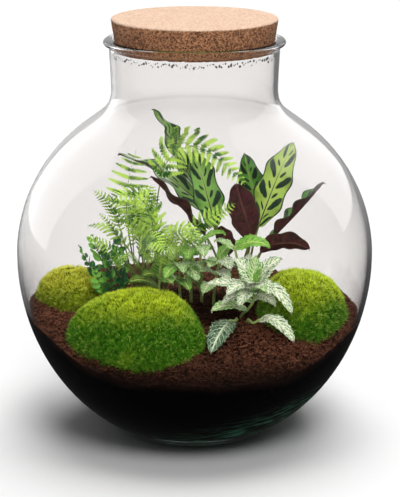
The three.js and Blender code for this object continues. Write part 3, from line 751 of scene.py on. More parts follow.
def fern_leaflet():
    """Light green in patches, and darker low down in the shade."""
    finish = Finish("fern_leaflet")
    out, _ = finish.leaf_map()
    fine = finish.grain(1.6, 2)
    bright = (finish.grain(16, 2) * 0.75 + fine * 0.25 + out * 0.08).step(0.41, 0.61)
    rise = finish.height().step(0.12, 0.215)
    ground = finish.blend(rgb(34, 98, 14), rgb(202, 242, 100), bright * (rise * 0.6 + 0.4))
    return finish.paint(ground, 0.5, fine, 0.15)


def nerve_leaf(name, ground, deep, vein, spread, net):
    """Green ground under a herringbone of pale veins, with a net between them."""
    finish = Finish(name)
    across, along = finish.leaf_map()
    out = abs(across * 2 - 1)
    lean = along - out * 0.24 + finish.grain(2.5, 2) * 0.05
    beat = abs((lean * 8) % 1.0 - 0.5) * 2
    side = (beat - out * 0.12).step(0.84 - spread, 0.96 - spread * 0.6)
    veins = side.either(out.step(0.13, 0.06))
    pale = veins
    if net:
        where = finish.node("CombineXYZ", sockets={0: across * 0.009, 1: lean * 0.026})
        mesh = finish.cells(1.7, "DISTANCE_TO_EDGE", where=where).step(0.13 * net + 0.001, 0.03 * net)
        pale = veins.either(mesh * 0.9)
    green = finish.blend(ground, deep, finish.grain(5, 2).step(0.3, 0.7))
    return finish.paint(finish.blend(green, vein, pale), 0.42, 1 - veins, 0.25, 0.7)


def creeper_leaf():
    finish = Finish("creeper_leaf")
    across, _ = finish.leaf_map()
    rib = abs(across * 2 - 1).step(0.14, 0.04)
    ground = finish.blend(rgb(22, 84, 42), rgb(122, 188, 70), finish.grain(14, 2).step(0.46, 0.64))
    ribbed = finish.blend(ground, rgb(116, 160, 88), rib * 0.5)
    return finish.paint(ribbed, 0.34, finish.grain(1.2, 2), 0.12)


def clear_water():
    finish = Finish("clear_water")
    # The beads' water is tinted dark grey: painted shade, standing in for how dark the clear beads look on
    # the glass.
    tint = finish.blend(rgb(30, 34, 34), rgb(170, 176, 176), finish.grain(9, 1))
    return finish.paint(tint, 0.02, ior=1.33, transmission_weight=1.0)


def pale_floor():
    """Pale paper. Where the glass mirrors it, it is dark, except far back and mostly at the left."""
    finish = Finish("pale_floor")
    paper = finish.blend(rgb(246, 246, 246), rgb(250, 250, 250), finish.grain(400, 2))
    across, back, _ = finish.place()
    near = 1 - back.step(0.1, 0.7) * (0.95 - across.step(-0.1, 0.4) * 0.75)
    mirrored = finish.node("LightPath", output="Glossy Depth").both(1)
    return finish.paint(finish.blend(paper, rgb(12, 12, 12), mirrored * near), 1.0, shine=0)


# Pieces


def add_object(name, data):
    thing = bpy.data.objects.new(name, data)
    bpy.context.scene.collection.objects.link(thing)
    return thing


def add_piece(name, bm, finishes, nodes=(), sharp=math.radians(50)):
    """Makes the mesh a smooth piece in metres that rides on the terrarium."""
    bmesh.ops.scale(bm, vec=(MM, MM, MM), verts=bm.verts[:])
    for face in bm.faces:
        face.smooth = True
    mesh = bpy.data.meshes.new(name)
    bm.to_mesh(mesh)
    bm.free()
    mesh.set_sharp_from_angle(angle=sharp)
    for finish in finishes:
        mesh.materials.append(finish)
    piece = add_object(name, mesh)
    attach(piece, "root")
    if nodes:
        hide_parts(*nodes)


def add_numbered(name, number, bm, finishes, node):
    """Adds one leaf, frond, sprig or stem in the place of the CAD node with its number."""
    add_piece(f"{name}_{number:02d}", bm, finishes, [f"{node}_{number:02d}"])


# Jar and stopper


def half_height(z):
    """How high the half of the belly is that holds a height."""
    return LOWER_HALF if z < BELLY_HEIGHT else UPPER_HALF


def side_profile(*ends):
    """Points up the elliptical side between two heights, evenly spaced by angle."""
    low, high = (math.asin((z - BELLY_HEIGHT) / half_height(z)) for z in ends)
    points = []
    for i in range(SIDE_STEPS + 1):
        angle = low + (high - low) * i / SIDE_STEPS
        half = LOWER_HALF if angle < 0 else UPPER_HALF
        points.append((BELLY_RADIUS * math.cos(angle), BELLY_HEIGHT + half * math.sin(angle)))
    return points


def within(outline, depth):
    """An outline moved inwards by a depth, which keeps the wall's thickness even."""
    moved = []
    for i, (r, z) in enumerate(outline):
        before, after = outline[max(i - 1, 0)], outline[min(i + 1, len(outline) - 1)]
        dr, dz = after[0] - before[0], after[1] - before[1]
        length = math.hypot(dr, dz)
        moved.append((r - depth * dz / length, z + depth * dr / length))
    return moved


def jar_outline():
    """Half the jar's outline, from the middle of its foot up its outside and back down its inside."""
    shoulder = BELLY_HEIGHT + UPPER_HALF * math.sqrt(1 - ((NECK_WAIST + 20) / BELLY_RADIUS) ** 2)
    foot = [(FOOT_INNER_RADIUS - 5, FOOT_DISH), (FOOT_INNER_RADIUS, 0.4), (FOOT_INNER_RADIUS + 2, 0)]
    side = side_profile(FOOT_DISH, shoulder)
    heel = rounded([(FOOT_RADIUS - 2, 0), (FOOT_RADIUS + 1.5, 0.5), side[0]], 8)
    neck = rounded([
        side[-2], side[-1],
        (NECK_WAIST + 12, shoulder + 5.9), (NECK_WAIST + 5.8, shoulder + 11),
        (NECK_WAIST + 1.8, shoulder + 17.3), (NECK_WAIST + 0.3, shoulder + 25),
        (NECK_WAIST + 0.4, shoulder + 36), (NECK_RADIUS, RIM_TOP - LIP_HEIGHT),
    ], 34)
    lip = rounded([
        neck[-1], (NECK_RADIUS + 0.4, RIM_TOP - 5.9),
        (LIP_RADIUS - 2.4, RIM_TOP - 4.9), (LIP_RADIUS - 0.7, RIM_TOP - 3.9),
        (LIP_RADIUS, RIM_TOP - 2.4), (LIP_RADIUS - 0.7, RIM_TOP - 0.8),
        (LIP_RADIUS - 2.4, RIM_TOP), (MOUTH_RADIUS + 2.4, RIM_TOP),
        (MOUTH_RADIUS + 0.9, RIM_TOP - 0.6), (MOUTH_RADIUS + 0.4, RIM_TOP - 2),
        within(neck, WALL)[-1],
    ], 44)
    wall = side[:-1] + neck[2:]
    inside = [point for point in within(wall, WALL) if point[1] > FLOOR_TOP + 3][::-1]
    floor = rounded([inside[-1], (FLOOR_RADIUS + 8, FLOOR_TOP + 0.8), (FLOOR_RADIUS - 6, FLOOR_TOP)], 10)
    outside = [(0, FOOT_DISH), *rounded(foot, 8), *heel, *wall[1:], *lip[1:]]
    return [*outside, *inside[1:], *floor[1:], (0, FLOOR_TOP)]


def glass_jar():
    bm = turned(jar_outline(), JAR_SIDES)
    add_piece("jar_glass", bm, [clear_glass()], ["glass_jar"], math.pi)


def cork_stopper():
    """A tapered disc, rough with grains and pits."""
    top, bottom, edge = CORK_TOP_RADIUS, CORK_BOTTOM_RADIUS, CORK_EDGE
    side = CORK_TOP - CORK_BOTTOM - 2 * edge
    outline = [(0, CORK_BOTTOM), (bottom - edge, CORK_BOTTOM)]
    for i in range(CORK_ROWS + 1):
        outline.append((bottom + (top - bottom) * i / CORK_ROWS, CORK_BOTTOM + edge + side * i / CORK_ROWS))
    outline += [(top - 0.3 * edge, CORK_TOP - 0.3 * edge)]
    outline += [((top - edge) * (1 - i / CORK_RINGS), CORK_TOP) for i in range(CORK_RINGS + 1)]
    bm = turned(outline, CORK_SIDES)
    bm.normal_update()
    moves = []
    for vert in bm.verts:
        grain = noise.voronoi(vert.co / 2.6)[0]
        lump = noise.noise(vert.co / 1.3) * 0.12
        pit = smooth_step((noise.noise(vert.co / 3.4) - 0.28) / 0.16)
        seam = smooth_step(1 - (grain[1] - grain[0]) / 0.22)
        deep = 0.35 if vert.co.z > CORK_TOP - 0.5 else 1.0
        moves.append(vert.normal * (lump - (0.75 * pit + 0.22 * seam) * deep - 0.1))
    for vert, move in zip(bm.verts, moves):
        vert.co += move
    add_piece("cork", bm, [ground_cork()], ["cork_stopper"])


def water_beads():
    """Beads of condensed water on the glass under the stopper."""
    rng = random.Random(5)
    drop = bmesh.new()
    bmesh.ops.create_icosphere(drop, subdivisions=2, radius=1)
    mesh = pattern(drop)
    bm = bmesh.new()
    for i in range(WATER_BEADS):
        angle = (i + rng.random()) / WATER_BEADS * 2 * math.pi
        size = 0.4 + 0.75 * rng.random() ** 2
        height = CORK_BOTTOM - 1.2 - 3.6 * rng.random() ** 1.5
        seat = NECK_RADIUS - WALL - NECK_FLARE * (RIM_TOP - LIP_HEIGHT - height) - 0.3 * size
        flat = Matrix.Diagonal((0.45 * size, size, size * rng.uniform(0.9, 1.4), 1))
        stamp(bm, mesh, rotation(angle) @ Matrix.Translation((seat, 0, height)) @ flat)
    add_piece("water_beads", bm, [clear_water()])


# Soil


def soil_height(x, y):
    bank = BANK_DROP * smooth_step((BANK_TOP_Y - y) / (BANK_TOP_Y - BANK_FOOT_Y))
    swells = 1.6 * math.sin(x / 23 + 1) * math.cos(y / 19) + 1.1 * math.sin(x / 11 - y / 14)
    return SOIL_LEVEL - bank + SOIL_LEAN * x + swells


def inner_radius(z):
    """The radius inside the glass at a height."""
    low = FLOOR_TOP + 3
    share = (max(z, low) - BELLY_HEIGHT) / (half_height(z) - WALL)
    radius = (BELLY_RADIUS - WALL) * math.sqrt(1 - share * share)
    if z < low:
        radius = FLOOR_RADIUS + (radius - FLOOR_RADIUS) * (z - FLOOR_TOP) / (low - FLOOR_TOP)
    return radius


def crumble(x, y):
    """The soil's loose crumbs, as a height over its smooth form."""
    coarse = noise.noise(Vector((x / 8, y / 8, 3)))
    fine = noise.noise(Vector((x / 3.1, y / 3.1, 7)))
    grit = abs(noise.noise(Vector((x / 1.7, y / 1.7, 1))))
    return 1.8 * coarse + 2.0 * fine + 1.8 * grit


def turned_down(z):
    """How far down a ball of radius 1 a height is, from 0 at its top to 1 at its foot."""
    return math.acos(clamp(z, -1.0)) / math.pi


def soil_bed():
    """A ball drawn out to fill the jar: its upper rows are the top, its lower rows follow the glass."""
    rows = SOIL_TOP_ROWS + SOIL_WALL_ROWS + 1
    bm = bmesh.new()
    bmesh.ops.create_uvsphere(bm, u_segments=SOIL_SIDES, v_segments=rows, radius=1)

    def row_at(z):
        return round(turned_down(z) * rows)

    def down(row):
        return max(0, row - SOIL_TOP_ROWS) / SOIL_WALL_ROWS

    def place(x, y, z):
        row = row_at(z)
        around = math.atan2(y, x)
        edge = soil_height(SOIL_REACH * math.cos(around), SOIL_REACH * math.sin(around))
        height = edge + (FLOOR_TOP + 0.4 - edge) * min(1, down(row))
        inward = min(1, row / SOIL_TOP_ROWS)
        radius = 0 if row == rows else (inner_radius(height) + SOIL_PRESS) * inward
        spot = Vector((radius * math.cos(around), radius * math.sin(around), height))
        if row <= SOIL_TOP_ROWS:
            spot.z = soil_height(spot.x, spot.y) + crumble(spot.x, spot.y)
            spot.z += (edge - spot.z) * smooth_step((inward - 0.9) / 0.1) * 0.5
        return spot

    lay_uv(bm, lambda co: (0, down(row_at(co.z))))
    shape(bm, place)
    add_piece("soil_bed", bm, [potting_soil()], ["potting_soil"])


def under_moss(x, y):
    """Whether a place is well inside the outline of a cushion."""
    for cushion in MOSS:
        (right, back), (half_length, half_width) = cushion["at"], cushion["half"]
        if math.hypot((x - right) / half_length, (y - back) / half_width) < MOSS_COVER:
            return True
    return False


def bare_soil(rng, margin):
    """A random place on top of the soil, clear of the glass by a margin and of the moss."""
    while True:
        x, y = (rng.uniform(-SOIL_REACH, SOIL_REACH) for _ in range(2))
        z = soil_height(x, y)
        if math.hypot(x, y) <= inner_radius(z) - margin and not under_moss(x, y):
            return Vector((x, y, z + crumble(x, y)))


def strew(name, finish, rng, count, margin, patterns, grow):
    """Strews copies of some patterns over the soil. Grow gives how high each lies, and its form."""
    bm = bmesh.new()
    for _ in range(count):
        place = bare_soil(rng, margin)
        rise, form = grow()
        stamp(bm, rng.choice(patterns), Matrix.Translation(place + UP * rise) @ form)
    add_piece(name, bm, [finish])


def soil_crumbs():
    rng = random.Random(3)
    lumps = []
    for _ in range(LUMP_KINDS):
        lump = bmesh.new()
        bmesh.ops.create_icosphere(lump, subdivisions=1, radius=1)
        for vert in lump.verts:
            vert.co *= rng.uniform(0.6, 1.2)
        lumps.append(pattern(lump))

    def crumb():
        size = rng.uniform(0.5, 1.3) * rng.uniform(0.6, 1.5)
        turn = rotation(rng.uniform(0, 6.3)) @ rotation(rng.uniform(-0.7, 0.7), "X")
        return size * 0.3, turn @ Matrix.Diagonal((size * rng.uniform(0.8, 1.5), size, size * 0.75, 1))

    finish = soil_crumb("soil_crumb", rgb(16, 10, 7), rgb(120, 76, 56))
    strew("soil_crumbs", finish, rng, CRUMBS, 2.5, lumps, crumb)


def soil_fibres():
    rng = random.Random(4)
    strands = []
    for _ in range(STRAND_KINDS):
        bend = [(0, 0, 0)]
        for i in range(1, 4):
            bend.append((i * 0.33, rng.uniform(-0.16, 0.16), rng.uniform(-0.05, 0.16)))
        strands.append(pattern(tube(Path(bend), 0.0286, 0.013, 3, 3)))

    def fibre():
        length = rng.uniform(2.5, 7.5)
        tilt = rotation(rng.uniform(-0.35, 0.2), "Y")
        return 0.5, rotation(rng.uniform(0, 6.3)) @ tilt @ Matrix.Scale(length, 4)

    finish = soil_crumb("soil_fibre", rgb(44, 26, 19), rgb(184, 126, 96))
    strew("soil_fibres", finish, rng, FIBRES, 5, strands, fibre)


# Moss


def moss_pillow(cushion, sides, rows):
    """The closed pillow that the shoots stand on, inset from the cushion's own outline."""
    inset = SHOOT_LENGTH * 0.8
    seed = cushion["seed"]
    bm = bmesh.new()
    bmesh.ops.create_uvsphere(bm, u_segments=sides, v_segments=rows, radius=1)

    def place(x, y, z):
        turn = turned_down(z)
        rise = max(0, 1 - turn / MOSS_FOOT)
        fall = max(0, turn - MOSS_FOOT) / (1 - MOSS_FOOT)
        around = math.atan2(y, x)
        lobes = 1 + 0.04 * math.sin(3 * around + seed) + 0.03 * math.cos(5 * around - seed)
        dome = max(0, math.cos(math.pi / 2 * max(rise, fall))) ** MOSS_FULLNESS
        spot = Vector((*cushion["at"], 0))
        spot.x += (cushion["half"][0] * lobes - inset) * dome * math.cos(around)
        spot.y += (cushion["half"][1] * lobes - inset) * dome * math.sin(around)
        lump = 1.5 * noise.noise(Vector((x, y, z)) * 4 + Vector((seed, 0, 0))) * math.sqrt(rise)
        up = (cushion["height"] - inset) * math.sin(math.pi / 2 * rise) + lump
        down = MOSS_DEPTH * math.sin(math.pi / 2 * fall)
        spot.z = soil_height(spot.x, spot.y) - MOSS_SINK + up - down
        return spot

    shape(bm, place)
    lay_uv(bm, lambda co: (0.5, 0.42))
    bm.normal_update()
    return bm


def moss_tuft(rng):
    """A few slim shoots that lean apart, each with a shade of its own in the UV map."""
    bm = bmesh.new()
    for _ in range(SHOOTS_IN_A_TUFT):
        angle, out = rng.uniform(0, 2 * math.pi), math.sqrt(rng.random()) * 3.2
        foot = Vector((out * math.cos(angle), out * math.sin(angle), -0.8))
        lean = Vector((rng.uniform(-1, 1), rng.uniform(-1, 1), 0)) * 1.7
        length = SHOOT_LENGTH * rng.uniform(0.72, 1.15)
        shoot = tube(Path([foot, foot + UP * length + lean]), SHOOT_RADIUS, 0, 1, 3)
        shade = rng.random()
        lay_uv(shoot, lambda co: (shade, (co.z + 0.8) / length))
        join(bm, shoot)
    return pattern(bm)


def even_places(bm, count, rng):
    """Random places spread evenly over the upper part of a surface, each with its facing.

    A sphere's faces and corners come in another order each time, so both are sorted by place first.
    """
    faces = [face for face in bm.faces if face.normal.z > -0.25]
    faces.sort(key=lambda face: face.calc_center_median()[:])
    marks = list(itertools.accumulate(face.calc_area() for face in faces))
    for i in range(count):
        face = faces[bisect.bisect(marks, (i + rng.random()) / count * marks[-1])]
        corners = sorted((vert.co for vert in face.verts), key=lambda co: co[:])
        shares = [-math.log(1 - rng.random()) for _ in corners]
        yield sum((co * s for co, s in zip(corners, shares)), Vector()) / sum(shares), face.normal


def moss_cushion(cushion, finish):
    rng = random.Random(cushion["seed"])
    tufts = [moss_tuft(rng) for _ in range(TUFT_KINDS)]
    guide = moss_pillow(cushion, 48, 32)
    bm = moss_pillow(cushion, 72, 48)
    for place, facing in even_places(guide, cushion["tufts"], rng):
        if place.z < soil_height(place.x, place.y) - 1.5:
            continue
        away = (facing + UP * 0.25).normalized()
        turn = away.to_track_quat("Z", "Y").to_matrix().to_4x4() @ rotation(rng.uniform(0, 6.3))
        size = rng.uniform(0.8, 1.12)
        stamp(bm, rng.choice(tufts), Matrix.Translation(place) @ turn @ Matrix.Scale(size, 4))
    guide.free()
    name = cushion["side"]
    add_piece("moss_" + name, bm, [finish], ["moss_cushion_" + name], math.pi)


def moss_cushions():
    green = [rgb(226, 250, 40), rgb(72, 146, 14), rgb(12, 30, 4), rgb(236, 248, 120)]
    olive = [rgb(240, 240, 60), rgb(150, 176, 26), rgb(40, 54, 8), rgb(250, 250, 130)]
    for cushion in MOSS:
        colours = olive if cushion["side"] == "left" else green
        moss_cushion(cushion, moss_shoots(cushion, *colours))


# Plants


def rooted(root, places):
    """A stalk's places: upright through the soil's surface, then on along its path."""
    ground = soil_height(*root)
    upright = [ground - ROOT_DEPTH, ground - ROOT_STRAIGHT, ground + ROOT_STRAIGHT - 1]
    return [*((*root, z) for z in upright), *places]


def blade(rib, half_width, faces, powers, cells, relief, fold=0.2, ripple=0, ripples=3, teeth=0):
    """A leaf blade along a rib: edges rippled, halves folded up, and relief raised between its veins."""
    path = Path(rib)
    bm = sheet(*cells, eased=True)

    def place(u, v, _):
        share = (v + 1) / 2
        middle, side, up = path.stand(share, faces)
        width = max(half_width * leaf_width(share, *powers), LEAF_TIP)
        phase = 2 * math.pi * ripples * share + (RIPPLE_SHIFT if u > 0 else 0)
        width *= 1 + 0.032 * ripple * math.sin(phase + 0.8)
        width *= 1 + 0.3 * (0.5 - teeth * share % 1) * abs(u) if teeth else 1
        rise = abs(u) * width * math.sin(fold) + ripple * math.sin(phase) * u * u * width / half_width
        return middle + side * (u * width * math.cos(fold)) + up * (rise + relief(abs(u), share))

    shape(bm, place)
    bmesh.ops.recalc_face_normals(bm, faces=bm.faces[:])
    aim = path.stand(0.5, faces)[2]
    if sum((face.normal * face.calc_area() for face in bm.faces), Vector()).dot(aim) < 0:
        bmesh.ops.reverse_faces(bm, faces=bm.faces[:])
    return bm


def rib_tube(places, radius, steps, sides):
    """The raised rib under a blade, almost a point at its end."""
    return tube(Path(places), 1.02 * radius, 0.02 * radius, steps, sides)


def prayer_relief(out, share):
    """A sunk rib and soft quilting between the side veins."""
    beat = math.cos(2 * math.pi * (share * 10 - out * 0.9))
    return -0.35 * math.exp(-((out / 0.07) ** 2)) + 0.6 * beat * min(1, out * 3) * (1 - out)


def prayer_leaf(root, knee, rib, faces, **form):
    """A blade with its rib under it, and its stalk."""
    bm = blade(rib, faces=faces, powers=PRAYER_POWERS, cells=(16, 56), relief=prayer_relief, **form)
    give_thickness(bm, PRAYER_THICKNESS, 1)
    path = Path(rib)
    stalk = Path(rooted(root, [knee, rib[0], path.at(0.06)[0]]))
    join(bm, tube(stalk, 1.05 * PRAYER_STALK, 0.7 * PRAYER_STALK, 18), 2)
    stands = [path.stand(share, faces) for share in (0, 0.3, 0.6, 0.94)]
    spine = [place - face * PRAYER_THICKNESS for place, _, face in stands]
    join(bm, rib_tube(spine, PRAYER_RIB, 20, 6), 1)
    return bm


def prayer_plant():
    colourings = {
        "green": [rgb(42, 106, 32), rgb(112, 178, 60), rgb(8, 28, 16), 4.6],
        "light": [rgb(86, 152, 54), rgb(168, 210, 112), rgb(40, 62, 50), 3.6],
        "lime": [rgb(140, 184, 54), rgb(214, 234, 126), rgb(24, 54, 34), 4.0],
    }
    uppers = {name: prayer_upper("prayer_leaf_" + name, *look) for name, look in colourings.items()}
    others = [prayer_under(), stalk_skin("prayer_stalk", rgb(74, 40, 30), rgb(122, 132, 62))]
    for number, leaf in enumerate(PRAYER_LEAVES, 1):
        finishes = [uppers[leaf.pop("upper", "green")], *others]
        add_numbered("prayer_leaf", number, prayer_leaf(**leaf), finishes, "prayer_plant_leaf")


def along_rib(path, faces, length, reach, droop, turn=0.0):
    """Maps a flat frond, with its rib along y, onto a rib in space."""

    def place(x, y, z):
        middle, side, up = path.stand(y / length, faces)
        twist = turn * y / length
        across = side * math.cos(twist) + up * math.sin(twist)
        out = up * math.cos(twist) - side * math.sin(twist)
        return middle + across * x + out * (z - droop * reach * (x / reach) ** 2)

    return place


def lobe():
    """One lobe of a fern leaflet, one unit long, along x."""
    bm = sheet(2, 1)

    def place(x, y, z):
        share = (x + 1) / 2
        width = 0.5 * math.sin(math.pi * min(1, 0.3 + share * 0.7)) ** 0.6
        return Vector((share, y * width, 0.1 * math.sin(math.pi * share)))

    shape(bm, place)
    bmesh.ops.remove_doubles(bm, verts=bm.verts[:], dist=1e-4)
    return bm


def fern_leaflet_pattern(lobes):
    """A leaflet one unit long along x: a slim middle with pairs of lobes, pointing to its tip."""
    bm = bmesh.new()
    piece = pattern(lobe())
    middle = sheet(lobes, 1)
    shape(middle, lambda x, y, z: Vector(((x + 1) / 2, y * 0.08 * (1.1 - (x + 1) / 2), 0)))
    join(bm, middle)
    for i in range(lobes):
        share = (i + 0.3) / (lobes + 0.3)
        length = 0.25 * (1 - share) ** 0.7 * (0.8 + 0.2 * math.sin(math.pi * share)) + 0.03
        for way in (-1, 1):
            turn = rotation(way * math.radians(60 - 20 * share))
            form = Matrix.Diagonal((length, 0.72 / lobes, length, 1))
            stamp(bm, piece, Matrix.Translation((share, way * 0.01, 0)) @ turn @ form)
    return pattern(bm)


def bough(path, faces, reach, pairs, leaflets, slim=1, bare=0, slant=FERN_SLANT):
    """The leafy part of a frond, flat at first, then laid along its rib."""
    length = path.length
    bm = bmesh.new()
    for i in range(pairs):
        long = reach * leaf_width((i + 0.9) / (pairs + 1), *FERN_POWERS)
        middle, after = (length * (1 - (1 - (i + k) / (pairs + 1)) ** 1.25) for k in (0.5, 1.5))
        if middle < bare * length:
            continue
        wide = min((after - middle) * 2.4, long * 1.1) * slim
        leaflet = leaflets[0] if long > LONG_LEAFLET else leaflets[1]
        for way in (-1, 1):
            across, along = (way * long, 0, 0, way * 0.2), (slant * long, wide, 0, middle)
            stamp(bm, leaflet, Matrix((across, along, (0, 0, wide, 0), (0, 0, 0, 1))))
    face_up(bm)
    lay_uv(bm, lambda co: (abs(co.x) / reach, co.y / length))
    shape(bm, along_rib(path, faces, length, reach, FERN_DROOP))
    give_thickness(bm, FERN_THICKNESS, 0)
    return bm


def fern_stalk(root, knee, rib):
    """From the crown to the frond's tip, thinner all the way."""
    places = [rib.at(share)[0] for share in (0, 0.2, 0.4, 0.6, 0.8, 0.99)]
    return tube(Path(rooted(root, [knee, *places])), FERN_STALK, 0.18 * FERN_STALK, 30, 6)


def fern_frond(leaflets, root, knee, rib, faces, reach, pairs=13, young=YOUNG_FRONDS, **form):
    """A frond, and beside most of them a shorter one from the same foot for each young one."""
    path = Path(rib)
    bm = bough(path, faces, reach, pairs, leaflets, **form)
    join(bm, fern_stalk(root, knee, path), 1)
    foot = Vector((*root, soil_height(*root)))
    for turn, size in young:
        swing = Matrix.Rotation(math.radians(turn), 3, "Z")
        bend, *places = [foot + swing @ (Vector(place) - foot) * size for place in (knee, *rib)]
        swung = [swing @ Vector(face) for face in faces]
        beside = foot + swing @ Vector((2 * FERN_STALK, 0, 0))
        join(bm, bough(Path(places), swung, reach * size * 0.9, round(pairs * 0.9), leaflets))
        join(bm, fern_stalk(beside.xy, bend, Path(places)), 1)
    return bm


def fern():
    finishes = [fern_leaflet(), stalk_skin("fern_stalk", rgb(70, 42, 22), rgb(150, 186, 88))]
    leaflets = [fern_leaflet_pattern(7), fern_leaflet_pattern(3)]
    for number, frond in enumerate(FERN_FRONDS, 1):
        add_numbered("fern", number, fern_frond(leaflets, **frond), finishes, "fern_frond")


def creeper_leaf_pattern():
    """A small blunt leaf one unit long along x, cupped and folded at its rib."""
    bm = sheet(7, 4)

    def place(x, y, z):
        share = (x + 1) / 2
        width = 0.27 * leaf_width(share, 0.6, 0.7)
        return Vector((share, y * width, 0.1 * abs(y) * (1 - share * 0.5) - 0.12 * share * share))

    lay_uv(bm, lambda co: ((co.y + 1) / 2, (co.x + 1) / 2))
    shape(bm, place)
    return pattern(bm)


def creeper_sprig(leaf, rng, twist, root, rib):
    """Pairs of leaves up a twisting rib, with three more at its tip, and the stalk."""
    path = Path(rib)
    bm = bmesh.new()
    for i in range(CREEPER_PAIRS):
        long = CREEPER_LEAF * leaf_width((i + 0.9) / (CREEPER_PAIRS + 1), *CREEPER_POWERS)
        middle = (i + 0.5) * path.length / (CREEPER_PAIRS + 0.5)
        for way in (-1, 1):
            size = long * rng.uniform(0.7, 1.1)
            turn = rotation(math.atan(CREEPER_SLANT) + rng.uniform(-0.35, 0.55))
            tilt = rotation(rng.uniform(-0.8, 0.8), "X")
            foot = Matrix.Translation((way * 0.3, middle, 0)) @ Matrix.Diagonal((way, 1, 1, 1))
            stamp(bm, leaf, foot @ turn @ tilt @ Matrix.Scale(size, 4))
    for spread in (-0.6, 0, 0.6):
        tip = Matrix.Translation((0, path.length - 1, 0)) @ rotation(math.pi / 2 + spread)
        stamp(bm, leaf, tip @ Matrix.Scale(0.4 * CREEPER_LEAF, 4))
    face_up(bm)
    shape(bm, along_rib(path, CREEPER_FACES, path.length, CREEPER_REACH, CREEPER_DROOP, twist))
    give_thickness(bm, CREEPER_THICKNESS, 0)
    join(bm, tube(Path(rooted(root, rib)), 1.05 * CREEPER_STALK, 0.45 * CREEPER_STALK, 18, 6), 1)
    return bm


def creeper():
    finishes = [creeper_leaf(), stalk_skin("creeper_stalk", rgb(70, 60, 32), rgb(92, 132, 52))]
    leaf = creeper_leaf_pattern()
    rng = random.Random(9)
    for number, sprig in enumerate(CREEPER_SPRIGS, 1):
        twist = -CREEPER_TURN if number % 2 else CREEPER_TURN
        bm = creeper_sprig(leaf, rng, twist, **sprig)
        add_numbered("creeper", number, bm, finishes, "creeper_sprig")


def nerve_relief(out, share):
    """The blade stands up in soft pads between its sunk veins."""
    beat = math.cos(2 * math.pi * (share - out * 0.24) * 8)
    return (0.3 - 0.3 * beat) * min(1, out * 3) * (1 - out) - 0.4 * math.exp(-((out / 0.1) ** 2))


def nerve_stem(colourings, root, path, **leaves):
    """A stem with its leaves, each a toothed blade with its rib under it."""
    stem = Path(rooted(root, path))
    bm = tube(stem, 1.05 * NERVE_STALK, 0.75 * NERVE_STALK, 20, 8)
    for colouring, rows in leaves.items():
        for share, x, y, z, arch, half_width, *faces in rows:
            foot, tip = stem.between_knots(share), Vector((x, y, z))
            start = foot + (tip - foot).normalized() * 0.4 * NERVE_STALK
            rib = [start.lerp(tip, t) + UP * (4 * arch * t * (1 - t)) for t in (0, 0.35, 0.7, 1)]
            faces = faces or [NERVE_FACE]
            leaf = blade(
                rib, half_width, faces, NERVE_POWERS, (8, 40), nerve_relief, ripple=0.5, ripples=2.5, teeth=9,
            )
            give_thickness(leaf, NERVE_THICKNESS, 0)
            join(bm, leaf, 1 + colourings.index(colouring))
            join(bm, rib_tube([place - UP * 0.5 for place in rib], NERVE_RIB, 10, 5), 0)
    return bm


def nerve_plant():
    colourings = {
        "green": [rgb(50, 126, 26), rgb(118, 194, 52), rgb(224, 244, 158), 0.07, 0.35],
        "pale": [rgb(50, 126, 28), rgb(110, 186, 54), rgb(248, 255, 214), 0.15, 0.7],
        "white": [rgb(38, 108, 24), rgb(84, 156, 44), rgb(255, 255, 236), 0.2, 1.05],
        "fresh": [rgb(62, 132, 30), rgb(112, 176, 50), rgb(196, 226, 120), 0.05, 0.3],
        "striped": [rgb(50, 100, 24), rgb(96, 136, 36), rgb(214, 224, 124), 0.05, 0],
        "deep": [rgb(14, 54, 30), rgb(34, 84, 46), rgb(228, 244, 212), 0.05, 0.3],
    }
    finishes = [stalk_skin("nerve_stalk", rgb(96, 110, 56), rgb(170, 196, 108))]
    finishes += [nerve_leaf("nerve_" + name, *look) for name, look in colourings.items()]
    for number, stem in enumerate(NERVE_STEMS, 1):
        bm = nerve_stem(list(colourings), **stem)
        add_numbered("nerve", number, bm, finishes, "nerve_plant_stem")


# Studio


def lamp(name, kind, energy, turn, **settings):
    """A lamp that shows nowhere in the glass."""
    data = bpy.data.lights.new(name, kind)
    data.energy = energy
    for setting, value in settings.items():
        setattr(data, setting, value)
    holder = add_object(name, data)
    holder.rotation_euler = [math.radians(angle) for angle in turn]
    holder.visible_glossy = holder.visible_transmission = False
    return holder


def softbox(name, way, size, energy):
    """A lit panel that shows only as a highlight in the glass, seen from the jar in a given direction."""
    panel = lamp(name, "AREA", energy, (0, 0, 0), shape="RECTANGLE", size=size[0], size_y=size[1])
    panel.location = Vector(way).normalized() * 2.5 + UP * BELLY_HEIGHT * MM
    panel.rotation_euler = Vector(way).to_track_quat("Z", "Y").to_euler()
    panel.visible_glossy = panel.visible_transmission = True
    panel.visible_diffuse = panel.visible_camera = False


def ground():
    """A pale round floor, left out of mirror images, except those that went on through the glass."""
    bm = bmesh.new()
    bmesh.ops.create_circle(bm, cap_ends=True, segments=64, radius=3.0)
    mesh = pattern(bm)
    mesh.materials.append(pale_floor())
    floor = add_object("floor", mesh)
    floor.visible_glossy = False
    return floor


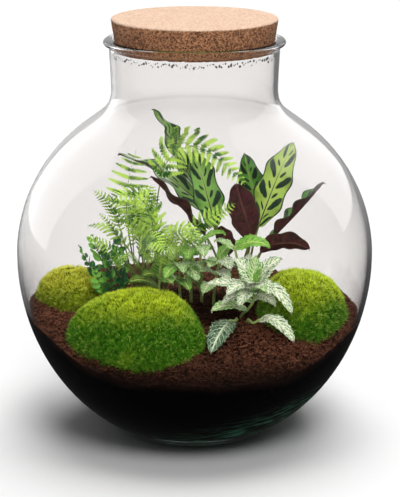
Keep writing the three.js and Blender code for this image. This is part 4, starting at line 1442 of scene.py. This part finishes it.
def sky():
    """White where it is seen straight on. The glass mirrors it darker low down, in front and to the right."""
    world = bpy.data.worlds.new("studio")
    bpy.context.scene.world = world
    world.use_nodes = True
    world.cycles_visibility.diffuse = False
    nodes = Nodes(world.node_tree)
    across, back, rise = nodes.parts(nodes.node("TexCoord", output="Generated"))
    low = 0.72 - across.step(-0.3, 0.8) * 0.37
    around = low + rise.step(0.05, 0.5) * (0.95 - low)
    glow = around * (back.step(-0.1, 0.3) * 0.55 + 0.45) * rise.step(-0.3, -0.04)
    mirrored = nodes.node("LightPath", output="Glossy Depth").both(1)
    backdrop = world.node_tree.nodes["Background"].inputs
    nodes.feed(backdrop["Color"], (1, 1, 1, 1))
    nodes.feed(backdrop["Strength"], glow.either(0.02) * mirrored + (1 - mirrored))


def studio():
    """The low front light leaves out the floor, so that the shadow under the jar stays dark."""
    sky()
    unlit = bpy.data.collections.new("unlit_from_the_front")
    unlit.objects.link(ground())
    unlit.collection_objects[0].light_linking.link_state = "EXCLUDE"
    front = lamp("front_light", "SUN", 1.5, (62, 8, 0), angle=math.radians(40))
    front.light_linking.receiver_collection = unlit
    lamp("key_light", "SUN", 1.0, (32, 10, 0), angle=math.radians(25))
    lamp("top_light", "SUN", 2.1, (-13, 5, 0), angle=math.radians(46))
    lamp("dome_light", "SUN", 0.62, (0, 0, 0), angle=math.radians(120))
    softbox("left_softbox", (-0.67, 0.57, 0.40), (2.4, 2.6), 24)
    softbox("right_softbox", (0.58, 0.54, 0.60), (2.3, 3.3), 28)
    bpy.context.scene.view_settings.view_transform = "Standard"


def camera():
    """Looks down a little at the middle of the jar's belly."""
    tilt = math.radians(VIEW_TILT)
    data = bpy.data.cameras.new("camera")
    data.sensor_fit = "VERTICAL"
    data.sensor_height = data.sensor_width = 36
    data.lens = PHOTO_LENS * data.sensor_height / PHOTO_HEIGHT
    data.shift_x, data.shift_y = (shift / PHOTO_HEIGHT for shift in PHOTO_SHIFT)
    view = add_object("camera", data)
    view.location = UP * BELLY_HEIGHT * MM + Vector((0, -math.cos(tilt), math.sin(tilt))) * VIEW_DISTANCE
    view.rotation_euler = (math.pi / 2 - tilt, 0, 0)
    bpy.context.scene.camera = view


camera()
studio()
glass_jar()
cork_stopper()
water_beads()
soil_bed()
soil_crumbs()
soil_fibres()
moss_cushions()
prayer_plant()
fern()
creeper()
nerve_plant()
